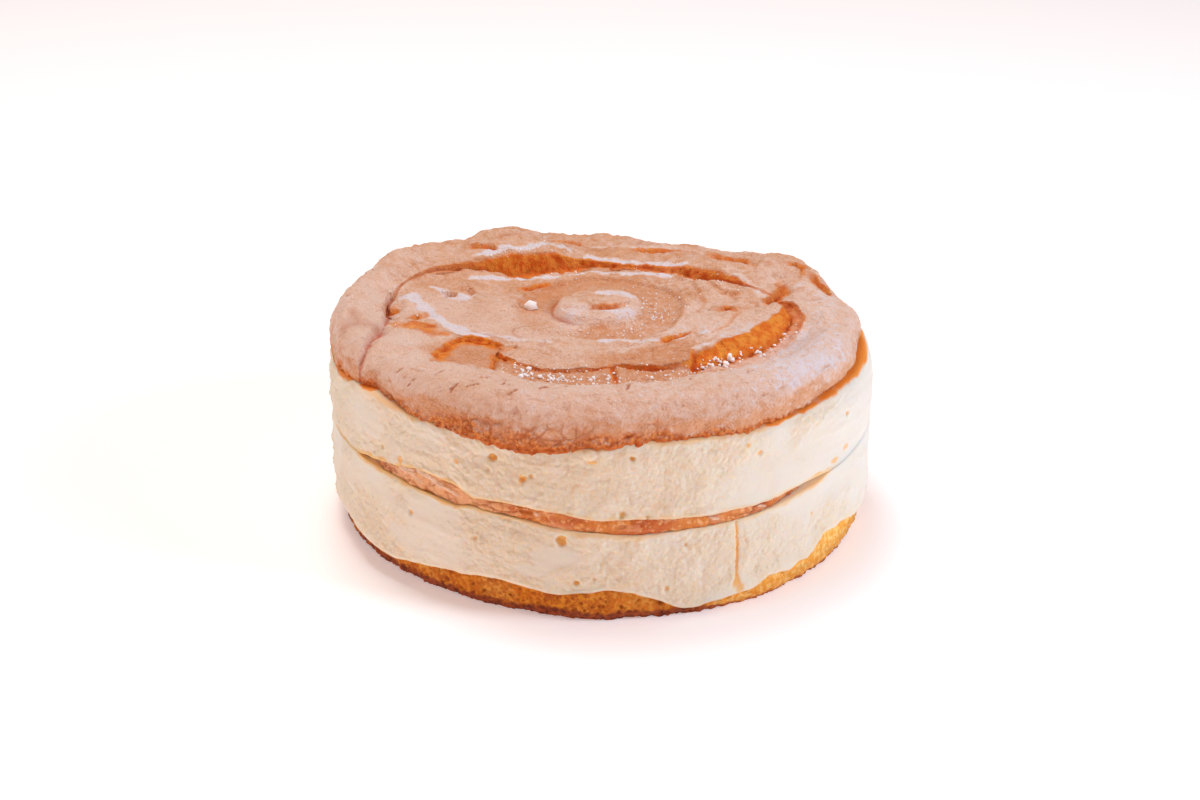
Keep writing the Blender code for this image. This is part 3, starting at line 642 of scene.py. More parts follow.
# Whiter where smooth: the smears' own tone, and partly painted key light on the smooth right side.
white = add(tree, "MapRange", {"Value": smooth, "To Max": 0.75})
pit = add(tree, "MapRange", {"Value": pit, "From Min": 0.15, "To Max": 0.8}, **SOFT)
# Real yellow stains and the dragged line, and painted warm shade under the rope and beside the disc and the
# sponge.
stain_and_shade = add(tree, "MapRange", {"Value": stain_and_shade, "To Max": 0.85})
syrup_and_shade = add(tree, "MapRange", {"Value": syrup_and_shade, "From Max": 0.7}, **SOFT)
colour = "#E3D6C1"
for share, coat in (
    (clouds, "#E7DECD"),
    (speckle, "#F4D8A8"),
    (hollow_shade, "#ECBE80"),
    (white, "#E6E2D8"),
    (pit, "#F0B448"),
    (stain_and_shade, "#F2B558"),
    (syrup_and_shade, "#F4943A"),
):
    colour = add(tree, "Mix", {0: share, 6: colour, 7: coat}, 2, **COLOUR)
moist = add(tree, "MapRange", {"Value": smooth, "To Min": 0.7, "To Max": 0.5})
dry = add(tree, "MapRange", {"Value": smooth, "To Min": 1.0, "To Max": 0.2})
grit = add(tree, "Math", {0: granules, 1: -1.1, 2: curds}, operation="MULTIPLY_ADD")
grit = add(tree, "Math", {0: grit, 1: dry}, operation="MULTIPLY")
bump = add(tree, "Bump", {"Height": grit, "Strength": 1.0, "Distance": 0.0003})
join(tree, shader, {"Base Color": colour, "Roughness": moist, "Normal": bump})

columns = np.linspace(0.0, 360.0, CREAM_COLUMNS, endpoint=False)
opening = around(DISC_OPENING, columns)
# 0 where the two layers close over the disc, and 1 where they lie apart and show it.
parted = ease(0.6, 3.0, opening)
edge = disc_edge_radius(columns)


def set_cream(name, node, below, side, above, ends, seed, split=False):
    """One layer of cream: hidden rings below, its whipped side, hidden rings above."""
    side, shown = whip(side, side[0, :, 2], side[-1, :, 2], parted, seed, split)
    hidden = (len(below) * CREAM_COLUMNS, len(above) * CREAM_COLUMNS)
    masks = {mask: np.pad(values.ravel(), hidden) for mask, values in shown.items()}
    layer = loft(name, below + list(side) + above, masks, ends)
    layer.data.materials.append(cream_material)
    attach(layer, "root")
    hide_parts(node)


ceiling = SPONGE_HEIGHT - CREAM_OVERLAP
# At the right the cream's lower edge is ragged, where it was pulled off with the ring.
pulled = ease(299.0, 306.0, columns) * fade(332.0, 346.0, columns)
lip_ring = ring_points(CREAM_RADIUS, 0.0, columns)
lip = around(SPONGE_LIP, columns) + 1.3 * pulled * rough(lip_ring, 8.0, seed=57)
hang = np.minimum(lip, ceiling)
inner_wall = SPONGE_RADIUS - CREAM_GRIP
seat = DISC_THICKNESS / 2 - CREAM_OVERLAP
rim_seat = disc_rim_half(columns) - CREAM_OVERLAP
disc_ring = edge - CREAM_ON_DISC
disc_level = disc_middle(CREAM_RADIUS, columns)
lower_side = cream_side(columns, lip, disc_level - opening / 2, 0.0, seed=11, high_open=parted)
set_cream(
    "cream_layer_lower",
    "cream_lower",
    [
        ring_points(0.5 * SPONGE_RADIUS, ceiling, columns),
        ring_points(inner_wall - 3.0, ceiling, columns),
        ring_points(inner_wall, hang + 0.3 * (ceiling - hang), columns),
    ],
    lower_side,
    [ring_points(disc_ring, disc_middle(disc_ring, columns) - rim_seat, columns)]
    + [ring_points(radius, disc_middle(radius, columns) - seat, columns) for radius in CREAM_INSIDE_RINGS],
    ends=((0, 0, ceiling), (0, 0, DISC_CENTRE_HEIGHT - seat)),
    seed=201,
    split=True,
)
upper_side = cream_side(
    columns,
    disc_level + opening / 2,
    swirl_bed(CREAM_RADIUS, columns),
    around(CREAM_SHOULDER, columns),
    seed=23,
    low_open=parted,
)
set_cream(
    "cream_layer_upper",
    "cream_upper",
    [
        ring_points(radius, disc_middle(radius, columns) + seat, columns)
        for radius in reversed(CREAM_INSIDE_RINGS)
    ]
    + [ring_points(disc_ring, disc_middle(disc_ring, columns) + rim_seat, columns)],
    upper_side,
    [ring_points(radius, swirl_bed(radius, columns), columns) for radius in CREAM_TOP_RINGS],
    ends=((0, 0, DISC_CENTRE_HEIGHT + seat), (0, 0, SWIRL_BED_HEIGHT)),
    seed=305,
)

# Middle disc
# A thin disc of meringue, piped flat and baked dry. Between the creams it has drawn moisture, so
# its edge is a soft orange-tan band with broken, darker upper and lower rims.

DISC_COLUMNS = 1100
DISC_LEVELS = 26
# Cream dragged over the rim: (azimuth, height, half width along, half height).
DISC_SMEARS = (
    (226, 55.0, 7, 2.0), (233, 54.6, 9, 1.6), (238, 51.6, 7, 1.0), (229, 52.4, 5, 0.7),
    (257, 47.6, 1.4, 1.2), (293, 43.0, 2.4, 0.7), (304, 43.4, 3, 0.7),
)
# How steeply the smears slant down to the right.
DISC_SMEAR_SLOPE = 0.34
DISC_EDGE_ROUND = 1.4

columns = np.linspace(0.0, 360.0, DISC_COLUMNS, endpoint=False)
edge = disc_edge_radius(columns)
turn = np.linspace(-math.pi / 2, math.pi / 2, DISC_LEVELS)[:, None]
bulge = 0.4 * unevenness(columns, seed=5, waves=(7, 11, 16, 23))
rim_half = disc_rim_half(columns)
rim_height = disc_middle(edge, columns)
rim_radius = edge - DISC_EDGE_ROUND + DISC_EDGE_ROUND * np.abs(np.cos(turn)) ** 0.5 + bulge
rim = ring_points(rim_radius, rim_height + rim_half * np.sin(turn), columns)
out = surface_normals(rim)
drawn = rim * np.array([1.0, 1.0, 2.6])
fissure = 1 - np.clip(np.abs(lumps(drawn, 8.0, seed=61)) / 0.16, 0, 1)
broken = fissure * ease(-0.2, 0.3, lumps(rim, 11.0, seed=62))
relief = 0.7 * rough(drawn, 9.0, seed=63) + 0.4 * lumps(rim, 2.2, seed=64)
relief -= 0.7 * broken + 0.5 * pores(rim, 2.6, 0.22, seed=66)
smear = np.zeros(rim.shape[:2])
frayed = 0.9 * rough(drawn, 6.0, seed=69)
for patch in DISC_SMEARS:
    reach = from_patch(*side_place(rim), patch, DISC_RADIUS, DISC_SMEAR_SLOPE)
    smear = np.maximum(smear, fade(0.3, 1.2, reach + frayed))
relief += 0.5 * smear
rim = rim + out * relief[..., None]
# At the left the disc drank more from the cream, and is paler.
pale = ease(212.0, 220.0, columns) * fade(246.0, 256.0, columns)
wet = ease(0.0, 0.7, 0.1 + 0.9 * pale + rough(drawn, 10.0, seed=68)) * (0.6 + 0.4 * pale)
below, above = (
    [
        ring_points(share * edge, disc_middle(share * edge, columns) + half, columns)
        for share in shares
    ]
    for half, shares in ((-DISC_THICKNESS / 2, (0.4, 0.9)), (DISC_THICKNESS / 2, (0.9, 0.4)))
)
hidden = 2 * DISC_COLUMNS
disc = loft(
    "meringue_disc_rim",
    below + list(rim) + above,
    {
        "broken": np.pad(broken.ravel(), hidden),
        "wet": np.pad(wet.ravel(), hidden),
        "smear": np.pad(smear.ravel(), hidden),
    },
    ends=[(0, 0, DISC_CENTRE_HEIGHT + half) for half in (-DISC_THICKNESS / 2, DISC_THICKNESS / 2)],
)

# Moist baked meringue: glossy and a little see-through where cream wets it, a soft orange-tan with
# caramel-brown breaks.
disc_material, tree, shader = material_for(
    "moist_baked_meringue",
    {
        "Roughness": 0.3,
        "Subsurface Weight": 0.25,
        "Subsurface Radius": (1.0, 0.5, 0.25),
        "Subsurface Scale": 0.002,
    },
)
place = add(tree, "TexCoord", {}, "Object")
wet, broken, smear = (
    add(tree, "MapRange", {"Value": add(tree, "Attribute", {}, "Fac", attribute_name=name), "To Max": most})
    for name, most in (("wet", 0.75), ("broken", 0.8), ("smear", 0.7))
)
patches = add(tree, "TexNoise", {"Vector": place, "Scale": 1000 / 8, "Detail": 3.0})
patches = add(tree, "MapRange", {"Value": patches, "From Min": 0.35, "From Max": 0.65}, **SOFT)
grain = add(tree, "TexNoise", {"Vector": place, "Scale": 1000 / 2.0, "Detail": 4.0})
brown = add(tree, "MapRange", {"Value": grain, "From Min": 0.48, "From Max": 0.68, "To Max": 0.55}, **SOFT)
sugary = add(tree, "TexNoise", {"Vector": place, "Scale": 1000 / 2.6, "Detail": 2.0})
sugary = add(tree, "MapRange", {"Value": sugary, "From Min": 0.54, "From Max": 0.64, "To Max": 0.6}, **SOFT)
colour = "#DE8830"
for share, coat in (
    (patches, "#C86018"),
    (wet, "#F3BC8C"),
    (brown, "#C9702C"),
    (broken, "#B45A20"),
    (sugary, "#F4BC80"),
    (smear, "#EED3BC"),
):
    colour = add(tree, "Mix", {0: share, 6: colour, 7: coat}, 2, **COLOUR)
bump = add(tree, "Bump", {"Height": grain, "Strength": 1.0, "Distance": 0.0013})
join(tree, shader, {"Base Color": colour, "Normal": bump})
disc.data.materials.append(disc_material)
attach(disc, "root")
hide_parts("meringue_disc")

# Swirl
# A thick meringue piped in one spiral from the middle out, and baked until its skin dried to a thin
# crust. As it rose the crust tore between the turns, showing orange walls. The outer turn is a fat
# rope, made here as its own piece, which meets the crust inside it along the tear.

SWIRL_CENTRE = (-2.6, -4.0)
ROPE_COLUMNS = 990
CRUST_COLUMNS = 960
CRUST_RING_SPACING = 0.55

ROPE_RIDGE_HEIGHT = (
    (0, 95), (12, 94.6), (22, 95.4), (33, 96.4), (42, 93.8), (60, 89.4), (75, 89), (85, 90), (95, 90.4),
    (104, 92.4), (110, 96.2), (116, 97.4), (123, 96.2), (134, 97.6), (145, 100.2), (155, 99.4), (167, 98),
    (180, 98.5), (203, 97.6), (213, 94.8), (222, 96.5), (240, 98.6), (270, 99.4), (315, 99), (340, 97.6),
)
ROPE_OUTER_RADIUS = (
    (0, 115.6), (10, 113), (20, 112.6), (35, 114.5), (60, 113.5), (90, 113), (120, 113.5), (150, 114),
    (180, 115.6), (200, 115), (209, 113), (214, 110), (221, 112.5), (235, 114.5), (255, 116), (270, 115.5),
    (300, 116), (330, 117),
)
ROPE_INNER_RADIUS = (
    (0, 92), (30, 87), (60, 86), (90, 84), (120, 87), (140, 92), (150, 95), (182, 95.5), (200, 93),
    (214, 88), (225, 83), (239, 79), (246, 80), (254, 84), (263, 84), (272, 82), (290, 81), (305, 85),
    (320, 90), (334, 93), (347, 94),
)
ROPE_FOOT_INSET = (
    (0, 8), (45, 7), (90, 5.5), (170, 4.5), (190, 5), (205, 4), (213, 2.5), (235, 1), (280, 1), (300, 2),
    (320, 5), (340, 8),
)
# How far the rope's lower edge hangs over the cream's.
ROPE_SKIRT = (
    (0, 0), (90, 0.3), (180, 0.3), (214, 0), (225, 0.5), (245, 1.0), (280, 0.9), (296, 0.1), (302, 0.8),
    (318, 0.2),
)
# How much lower the ridge is laid, because the skin's heaves stand proud of it.
ROPE_RIDGE_HEAVE = 0.4
# Where the ridge lies from the rope's inside to its outside, and the belly from its foot to its ridge.
ROPE_RIDGE_SHARE = 0.58
ROPE_BELLY_SHARE = 0.42
# How full the rope's section is above its belly and below it: the less, the squarer.
ROPE_REACH_POWER = 0.8
ROPE_FOOT_POWER = 0.5
# How many points the rope's section has underneath, up its side, down its flank, on the ledge inside
# it, down the tear's wall and on the tear's floor.
ROPE_SECTION = (6, 50, 18, 14, 7, 4)

# The seam, where the rope's tail lies against its start, as places in plan from the foot inwards.
SEAM = ((-105, -82), (-103, -70), (-98.5, -48), (-95.5, -31), (-93, -12), (-93.5, 5), (-93, 14))
SEAM_DEPTH = 3.8
SEAM_APRON = 11.0

TEAR_RADIUS = (
    (2, 84), (12, 79), (30, 69), (42, 64.5), (60, 62), (80, 61.5), (92, 62), (110, 63), (122, 63.5),
    (128, 65), (135, 71), (140, 79), (147, 87.5), (155, 90.5), (170, 91), (182, 90), (190, 82), (200, 71),
    (210, 65), (217, 60.5), (222, 58), (226.5, 59), (230, 64.5), (236, 67), (243, 68), (253, 68.5),
    (260, 67.5), (268, 65.5), (278, 61.5), (288, 67), (296, 71), (304, 75), (313, 77.6), (322, 80.6),
    (337, 84.6), (347, 86), (354, 87),
)
TEAR_HALF_WIDTH = (
    (2, 2), (8, 1), (14, 0.5), (30, 1.6), (42, 2.2), (56, 1.4), (82, 1.2), (98, 2.4), (108, 3.5),
    (120, 3.6), (128, 2.4), (136, 0.6), (144, 0.3), (170, 0.35), (184, 0.3), (226, 0.3), (238, 0.4),
    (268, 0.35), (298, 0.4), (305, 1.6), (313, 2.6), (337, 2.8), (350, 2),
)
# How far the tear's two walls lean back from its floor to their lips.
INNER_SLOPE = (
    (2, 3), (14, 0.5), (30, 2), (60, 1.4), (82, 1.2), (98, 2.6), (108, 3.8), (120, 4), (132, 2.0),
    (142, 0.5), (170, 0.4), (186, 0.3), (225, 0.3), (235, 0.9), (268, 0.6), (296, 0.9), (305, 4), (313, 7),
    (322, 9), (340, 10), (350, 7),
)
OUTER_SLOPE = (
    (2, 1.5), (14, 0.5), (60, 0.6), (100, 1.2), (120, 1.6), (142, 0.5), (170, 0.4), (186, 0.3), (225, 0.3),
    (235, 0.6), (268, 0.5), (296, 1.4), (305, 3), (322, 3.4), (345, 2.4),
)
TEAR_DEPTH = (
    (2, 1.6), (10, 0.6), (16, 0.2), (30, 1.8), (42, 2.2), (60, 1.2), (82, 1.2), (98, 2.4), (118, 3),
    (130, 2.4), (142, 0.9), (160, 0.7), (176, 0.6), (186, 0.05), (226, 0.05), (230, 1.2), (238, 1),
    (268, 0.7), (298, 0.8), (309, 0.8), (330, 0.9), (350, 1.2),
)
# How thick the film of icing sugar is round the swirl, and the share of that which lies inside the rope.
# The film is thickest at the right, partly as painted light where the key light falls.
FILM = (
    (0, 1.0), (40, 0.6), (90, 0.45), (130, 0.45), (160, 0.8), (180, 1), (210, 1.05), (250, 0.9), (295, 0.9),
    (310, 1.2), (322, 1.4), (338, 1.3),
)
FILM_INSIDE = 0.74
# How freckled the film is: the dry skin shows through it in small spots.
FRECKLES = (
    (0, 1.1), (45, 1.3), (100, 1.3), (150, 1.0), (180, 0.4), (215, 0.4), (250, 0.8), (290, 1.2), (330, 1.2),
)
# How thickly the sugar that fell into the tear covers its floor.
TEAR_FLOOR_DUST = ((2, 0.3), (10, 0), (150, 0), (290, 0), (304, 0.8), (340, 0.8), (352, 0.4))
# How bare and orange the tear is, and how ragged its torn lips are.
TEAR_SHOWS = (
    (2, 1), (10, 0.7), (18, 0.3), (32, 0.9), (60, 0.8), (90, 0.9), (130, 1), (140, 0.7), (150, 0.45),
    (165, 0.3), (180, 0.35), (187, 0), (227, 0), (230, 1), (246, 0.6), (262, 0.55), (275, 0.8), (300, 0.8),
    (306, 1),
)
TEAR_RAGGEDNESS = 1.1
OUTER_LIP_HEIGHT = (
    (0, 94.6), (20, 94.6), (42, 95), (60, 93), (75, 92), (90, 93), (105, 95.6), (125, 97), (145, 96),
    (165, 95), (190, 95.2), (205, 94), (216, 93.4), (228, 93), (240, 92.4), (255, 92), (275, 91.9),
    (300, 92), (322, 91), (345, 91.6),
)
INNER_LIP_HEIGHT = (
    (0, 95.6), (20, 94.2), (42, 92), (65, 91.4), (90, 91), (110, 91), (130, 91.6), (145, 93.4), (165, 95),
    (190, 95.2), (205, 94.3), (220, 93.9), (232, 93.6), (245, 92.8), (270, 92.3), (290, 92.6), (300, 93.8),
    (308, 95.6), (330, 96.6), (348, 96.6),
)
# How far up the rope its crumbly brown rim comes.
RIM_HEIGHT = (
    (0, 4), (60, 6), (120, 7), (200, 6), (222, 4), (240, 9), (255, 11), (268, 7), (290, 6), (305, 3),
    (325, 2),
)
CRUST_COARSENESS = (
    (0, 1.15), (40, 1.5), (80, 1.4), (120, 1.5), (150, 1.2), (185, 0.9), (225, 0.8), (270, 0.8), (310, 0.9),
)
# Radius of the ring that the wrinkles' noise is taken from.
WRINKLE_RING = 42.0
# Where the sunken shelves between the turns are bare and tan: outside the tear and inside it.
SHELF = ((150, 0), (205, 0), (212, 0.8), (232, 1), (300, 1), (312, 0.7), (330, 0.1), (0, 0))
INNER_SHELF = ((0, 0), (150, 0), (262, 0), (275, 0.7), (285, 1), (312, 1), (322, 0.3), (335, 0))
INNER_SHELF_FROM = 50.0
PLATEAU_HEIGHT = (
    (0, 93.4), (45, 93.2), (90, 93), (140, 93.2), (190, 94), (225, 94.4), (270, 93.8), (315, 93.6),
)
GROOVE_EDGE = (
    (0, 40), (23, 43), (54, 45), (80, 44), (103, 43), (123, 41), (138, 42), (153, 39), (182, 36), (203, 36),
    (225, 37), (239, 36), (255, 35), (275, 35), (288, 36), (303, 39), (326, 39),
)
# How bare and tan the groove is round its curl.
GROOVE_TAN = (
    (0, 0.7), (45, 0.6), (90, 0.75), (112, 1), (150, 1.1), (168, 0.8), (185, 0.45), (215, 0.3), (245, 0.4),
    (262, 0.8), (300, 0.95), (330, 0.85),
)
GROOVE_HEIGHT = 90.6
CURL_CENTRE = (1.6, 6.0)
CURL_RADIUS = 19.0
# Half the width of the curl's steep edge, and of its softer edge on the side at this azimuth.
CURL_EDGE = 1.6
CURL_SOFT_EDGE = 3.0
CURL_SOFT_SIDE = -50.0
CURL_HEIGHT = 94.4
CURL_DOME = 1.4
# Inside this radius the crust's rings close in on the swirl's middle. It clears the curl's foot all
# round, as the curl lies a little off the swirl's axis.
CURL_FOOT = CURL_RADIUS + CURL_SOFT_EDGE + 7.5

# Smaller tears: (places in plan, half width, depth, apron, bareness). The apron is how far the crust
# slopes up again on the right of the line, and the wall on its left is steep.
SPLITS = (
    (((-71, -60), (-68, -48), (-63, -38), (-57, -36.5), (-50, -38), (-40, -44)), 2.6, 1.7, 13, 1.0),
    (((-46, -73), (-45, -62), (-45, -54)), 0.7, 1.6, 1.5, 0.8),
    (((70, 4), (76, 12), (81, 24), (78, 34)), 2.2, 4.2, 7, 0.8),
    (((51, -3), (55, -2.5), (59, -3)), 1.8, 2.8, 4.5, 1.0),
    (((24, -42), (31, -35.5), (39, -28)), 1.8, 2.8, 4.5, 1.0),
    (((95, 37), (98, 28), (102, 16)), 1.0, 1.8, 2, 0.8),
    (((84, 50), (91, 44), (90, 36)), 1.4, 2.2, 3, 0.8),
    (((-83, -16), (-80, -14.5), (-77, -13)), 1.2, 2.4, 4, 1.0),
    (((-92.5, -8), (-91.5, 2)), 2.0, 2.2, 4, 1.0),
    (((-18, -3), (-9, -4.5), (-1, -3)), 0.5, 0.9, 5, 0.05),
    (((-3, -3.5), (1, -3), (5, -2.5), (9, 0)), 1.0, 2.2, 5, 0.6),
    (((-82, -51), (-80, -50.5)), 1.6, 1.6, 1.8, 0.8),
    (((-73, 15), (-67, 19), (-62, 14)), 2.0, 2.8, 6, 0.15),
    (((-65, 22), (-59, 24), (-57, 16)), 1.8, 2.4, 4, 0.2),
    (((39, -74), (38.5, -66), (39, -57)), 0.7, 1.6, 1.0, 1.0),
    (((6, -82), (5.5, -74), (4, -64)), 0.6, 1.2, 0.7, 0.8),
    (((-36, 23), (-29, 28), (-22, 31)), 1.0, 1.8, 4, 0.9),
    (((-86, -19), (-77, -23), (-69, -29)), 5.0, 0.1, 4, 0.75),
    (((-61, 68), (-54, 66), (-46, 62)), 1.6, 3.2, 4, 0.8),
    (((14, 80), (30, 76), (44, 71)), 1.2, 2.2, 4, 0.8),
    (((50, 63), (60, 56), (68, 50)), 1.4, 2.6, 5, 0.8),
    (((-30, 86), (-18, 90), (-8, 89)), 1.0, 1.8, 4, 0.7),
    (((40, 30), (43, 18), (45, 6), (41, -8)), 0.7, 1.0, 5, 0.1),
    (((60, -8), (53, -24), (41, -36)), 0.6, 0.9, 2, 0.25),
    (((46, 36), (52, 22), (60, 12)), 0.8, 1.2, 4, 0.2),
)
# Short cracks in the dry skin: (place in plan, heading, length).
CRACKS = (
    ((-67, -84), 60, 7), ((-52, -98), 15, 7), ((-60, -97), 40, 7), ((-24, -103), 25, 6),
    ((-36, -106), 30, 6), ((-48, -91), 35, 5), ((11, -102), 70, 7), ((37, -90), 75, 7), ((-79, -84), 30, 6),
    ((-40, -98), 80, 4), ((-84, -74), 40, 5), ((-69, -70), 20, 4), ((60, -86), 60, 6), ((20, -94), 10, 5),
    ((72, -70), 40, 6),
)
# Icing sugar that lies thick: (places in plan, half width, strength).
DUST_STREAKS = (
    (((-57, 53), (-46, 60), (-36, 66), (-25, 71), (-16, 71)), 4.6, 1.0),
    (((-86, 14), (-80, 2), (-73, -12), (-66, -24), (-58, -31), (-51, -35)), 3.8, 1.0),
    (((-50, -33), (-38, -37), (-22, -43)), 1.8, 0.7),
    (((-57, 36), (-42, 39), (-26, 43), (5, 46), (30, 44)), 3.4, 0.9),
    (((-6, 66), (12, 64), (26, 58), (36, 52)), 3.2, 0.9),
    (((40, -54), (50, -43), (57, -34), (64, -29)), 2.4, 0.7),
    (((92, -20), (98, -5), (99, 10), (92, 26)), 6.0, 0.6),
    (((0, 14), (8, 12), (14, 6)), 3.4, 0.8),
    (((66, -50), (74, -40), (80, -28), (84, -10)), 3.0, 0.8),
    (((0, -38), (20, -42), (34, -38), (44, -30)), 2.6, 0.75),
    (((-74, 24), (-66, 12), (-60, 14)), 3.4, 0.8),
    (((-8, 84), (14, 86), (34, 80)), 4.0, 0.5),
    (((70, 14), (66, 24), (60, 34)), 4.0, 0.6),
    (((-103, 44), (-98, 30), (-93, 20)), 7.0, 0.45),
)


def surface_of(piece):
    """A piece's points in millimetres and their outward normals."""
    count = len(piece.data.vertices)
    points, normals = np.zeros(3 * count), np.zeros(3 * count)
    piece.data.vertices.foreach_get("co", points)
    piece.data.vertices.foreach_get("normal", normals)
    return 1000 * points.reshape(-1, 3), normals.reshape(-1, 3)


def reshape(piece, points):
    """Move a piece's points to these places in millimetres."""
    piece.data.vertices.foreach_set("co", (points / 1000.0).ravel())
    piece.data.update()


def bed_under_swirl(radius, azimuth):
    """Height of the cream at a place given about the swirl's axis, which lies a little off the cake's."""
    turn = np.radians(azimuth)
    x = SWIRL_CENTRE[0] + radius * np.cos(turn)
    y = SWIRL_CENTRE[1] + radius * np.sin(turn)
    return swirl_bed(np.hypot(x, y), np.degrees(np.arctan2(y, x)))


def polar(points):
    """Radius and azimuth of points about the swirl's axis."""
    x, y = points[..., 0] - SWIRL_CENTRE[0], points[..., 1] - SWIRL_CENTRE[1]
    return np.hypot(x, y), np.degrees(np.arctan2(y, x)) % 360


def beside_line(points, line):
    """Distance in plan from points to a line of places, and whether they lie on its right."""
    place = points[..., :2]
    nearest = np.full(place.shape[:-1], 1e6)
    right = np.zeros(place.shape[:-1], bool)
    for start, end in zip(line, line[1:]):
        start, way = np.array(start, float), np.subtract(end, start).astype(float)
        share = np.clip((place - start) @ way / (way @ way), 0.0, 1.0)
        gap = place - start - share[..., None] * way
        away = np.linalg.norm(gap, axis=-1)
        right = np.where(away < nearest, way[0] * gap[..., 1] - way[1] * gap[..., 0] < 0, right)
        nearest = np.minimum(nearest, away)
    return nearest, right


def span(start, end, count):
    """Evenly spaced values from one closed curve to another, without the last."""
    share = np.arange(count)[:, None] / count
    return start + (end - start) * share


def stacked(parts):
    """Sections of (radius, height, kind) laid one after another, with the kind given for every point."""
    radius, height, kind = (
        np.concatenate([np.broadcast_arrays(*part)[k] for part in parts]).astype(float) for k in range(3)
    )
    return radius, height, kind


def blurred(values, passes):
    """Values smoothed along the section."""
    for _ in range(passes):
        values = 0.25 * np.roll(values, 1, axis=0) + 0.5 * values + 0.25 * np.roll(values, -1, axis=0)
    return values


def tear_bareness(azimuth):
    """How bare and orange the tear is, from 0 to 1."""
    return np.clip(around(TEAR_SHOWS, azimuth), 0.0, 1.0)


def tear_at(columns):
    """The tear's middle radius, half width, two lip heights and floor, ragged as the crust broke."""
    ring = ring_points(70.0, 0.0, columns)
    middle = around(TEAR_RADIUS, columns) + 0.9 * rough(ring, 18.0, seed=401, octaves=4)
    half = np.maximum(0.3, around(TEAR_HALF_WIDTH, columns) * (1 + 0.35 * rough(ring, 9.0, seed=411)))
    torn_off = TEAR_RAGGEDNESS * tear_bareness(columns)
    outer_lip = around(OUTER_LIP_HEIGHT, columns) + torn_off * rough(ring, 8.0, seed=415)
    inner_lip = around(INNER_LIP_HEIGHT, columns) + torn_off * rough(ring, 8.0, seed=419)
    floor = np.minimum(outer_lip, inner_lip) - around(TEAR_DEPTH, columns)
    return middle, half, outer_lip, inner_lip, floor


def ragged(slope, columns, seed):
    """How far a wall leans back, with the crumbly lip that the break left."""
    ring = ring_points(70.0, 0.0, columns)
    torn_off = TEAR_RAGGEDNESS * tear_bareness(columns)
    return np.maximum(0.3, around(slope, columns) + torn_off * rough(ring, 5.0, seed, octaves=3))


# What each part of the swirl's skin is: hidden below, dry crust, or torn and moist.
HIDDEN, CRUST, TORN = 0.0, 1.0, 2.0


def cracked(points, out, kind):
    """Depth from 0 to 1 of the short cracks, and how far their lifted sides stand up."""
    depth, lift = np.zeros(len(points)), np.zeros(len(points))
    wander = 0.9 * rough(points, 2.6, seed=909, octaves=3)
    for (x, y), heading, length in CRACKS:
        away = np.hypot(points[:, 0] - x, points[:, 1] - y) + 99.0 * ((kind != CRUST) | (out[:, 2] < 0.1))
        start = points[np.argmin(away)]
        if away.min() > 1.0:
            continue
        near = np.flatnonzero(np.linalg.norm(points - start, axis=1) < length)
        way = np.array([math.cos(math.radians(heading)), math.sin(math.radians(heading)), 0.0])
        normal = out[np.argmin(away)]
        way = way - normal * (way @ normal)
        way /= np.linalg.norm(way)
        across = np.cross(normal, way)
        gap = points[near] - start
        along = gap @ way
        side = gap @ across + wander[near] + 0.05 * along**2
        open_share = fade(0.3, 0.5, np.abs(along) / length)
        cut = fade(0.0, 0.7, np.abs(side)) * open_share
        depth[near] = np.maximum(depth[near], cut)
        lift[near] = np.maximum(lift[near], np.exp(-((side - 1.3) ** 2)) * open_share * (side > 0))
    return depth, lift


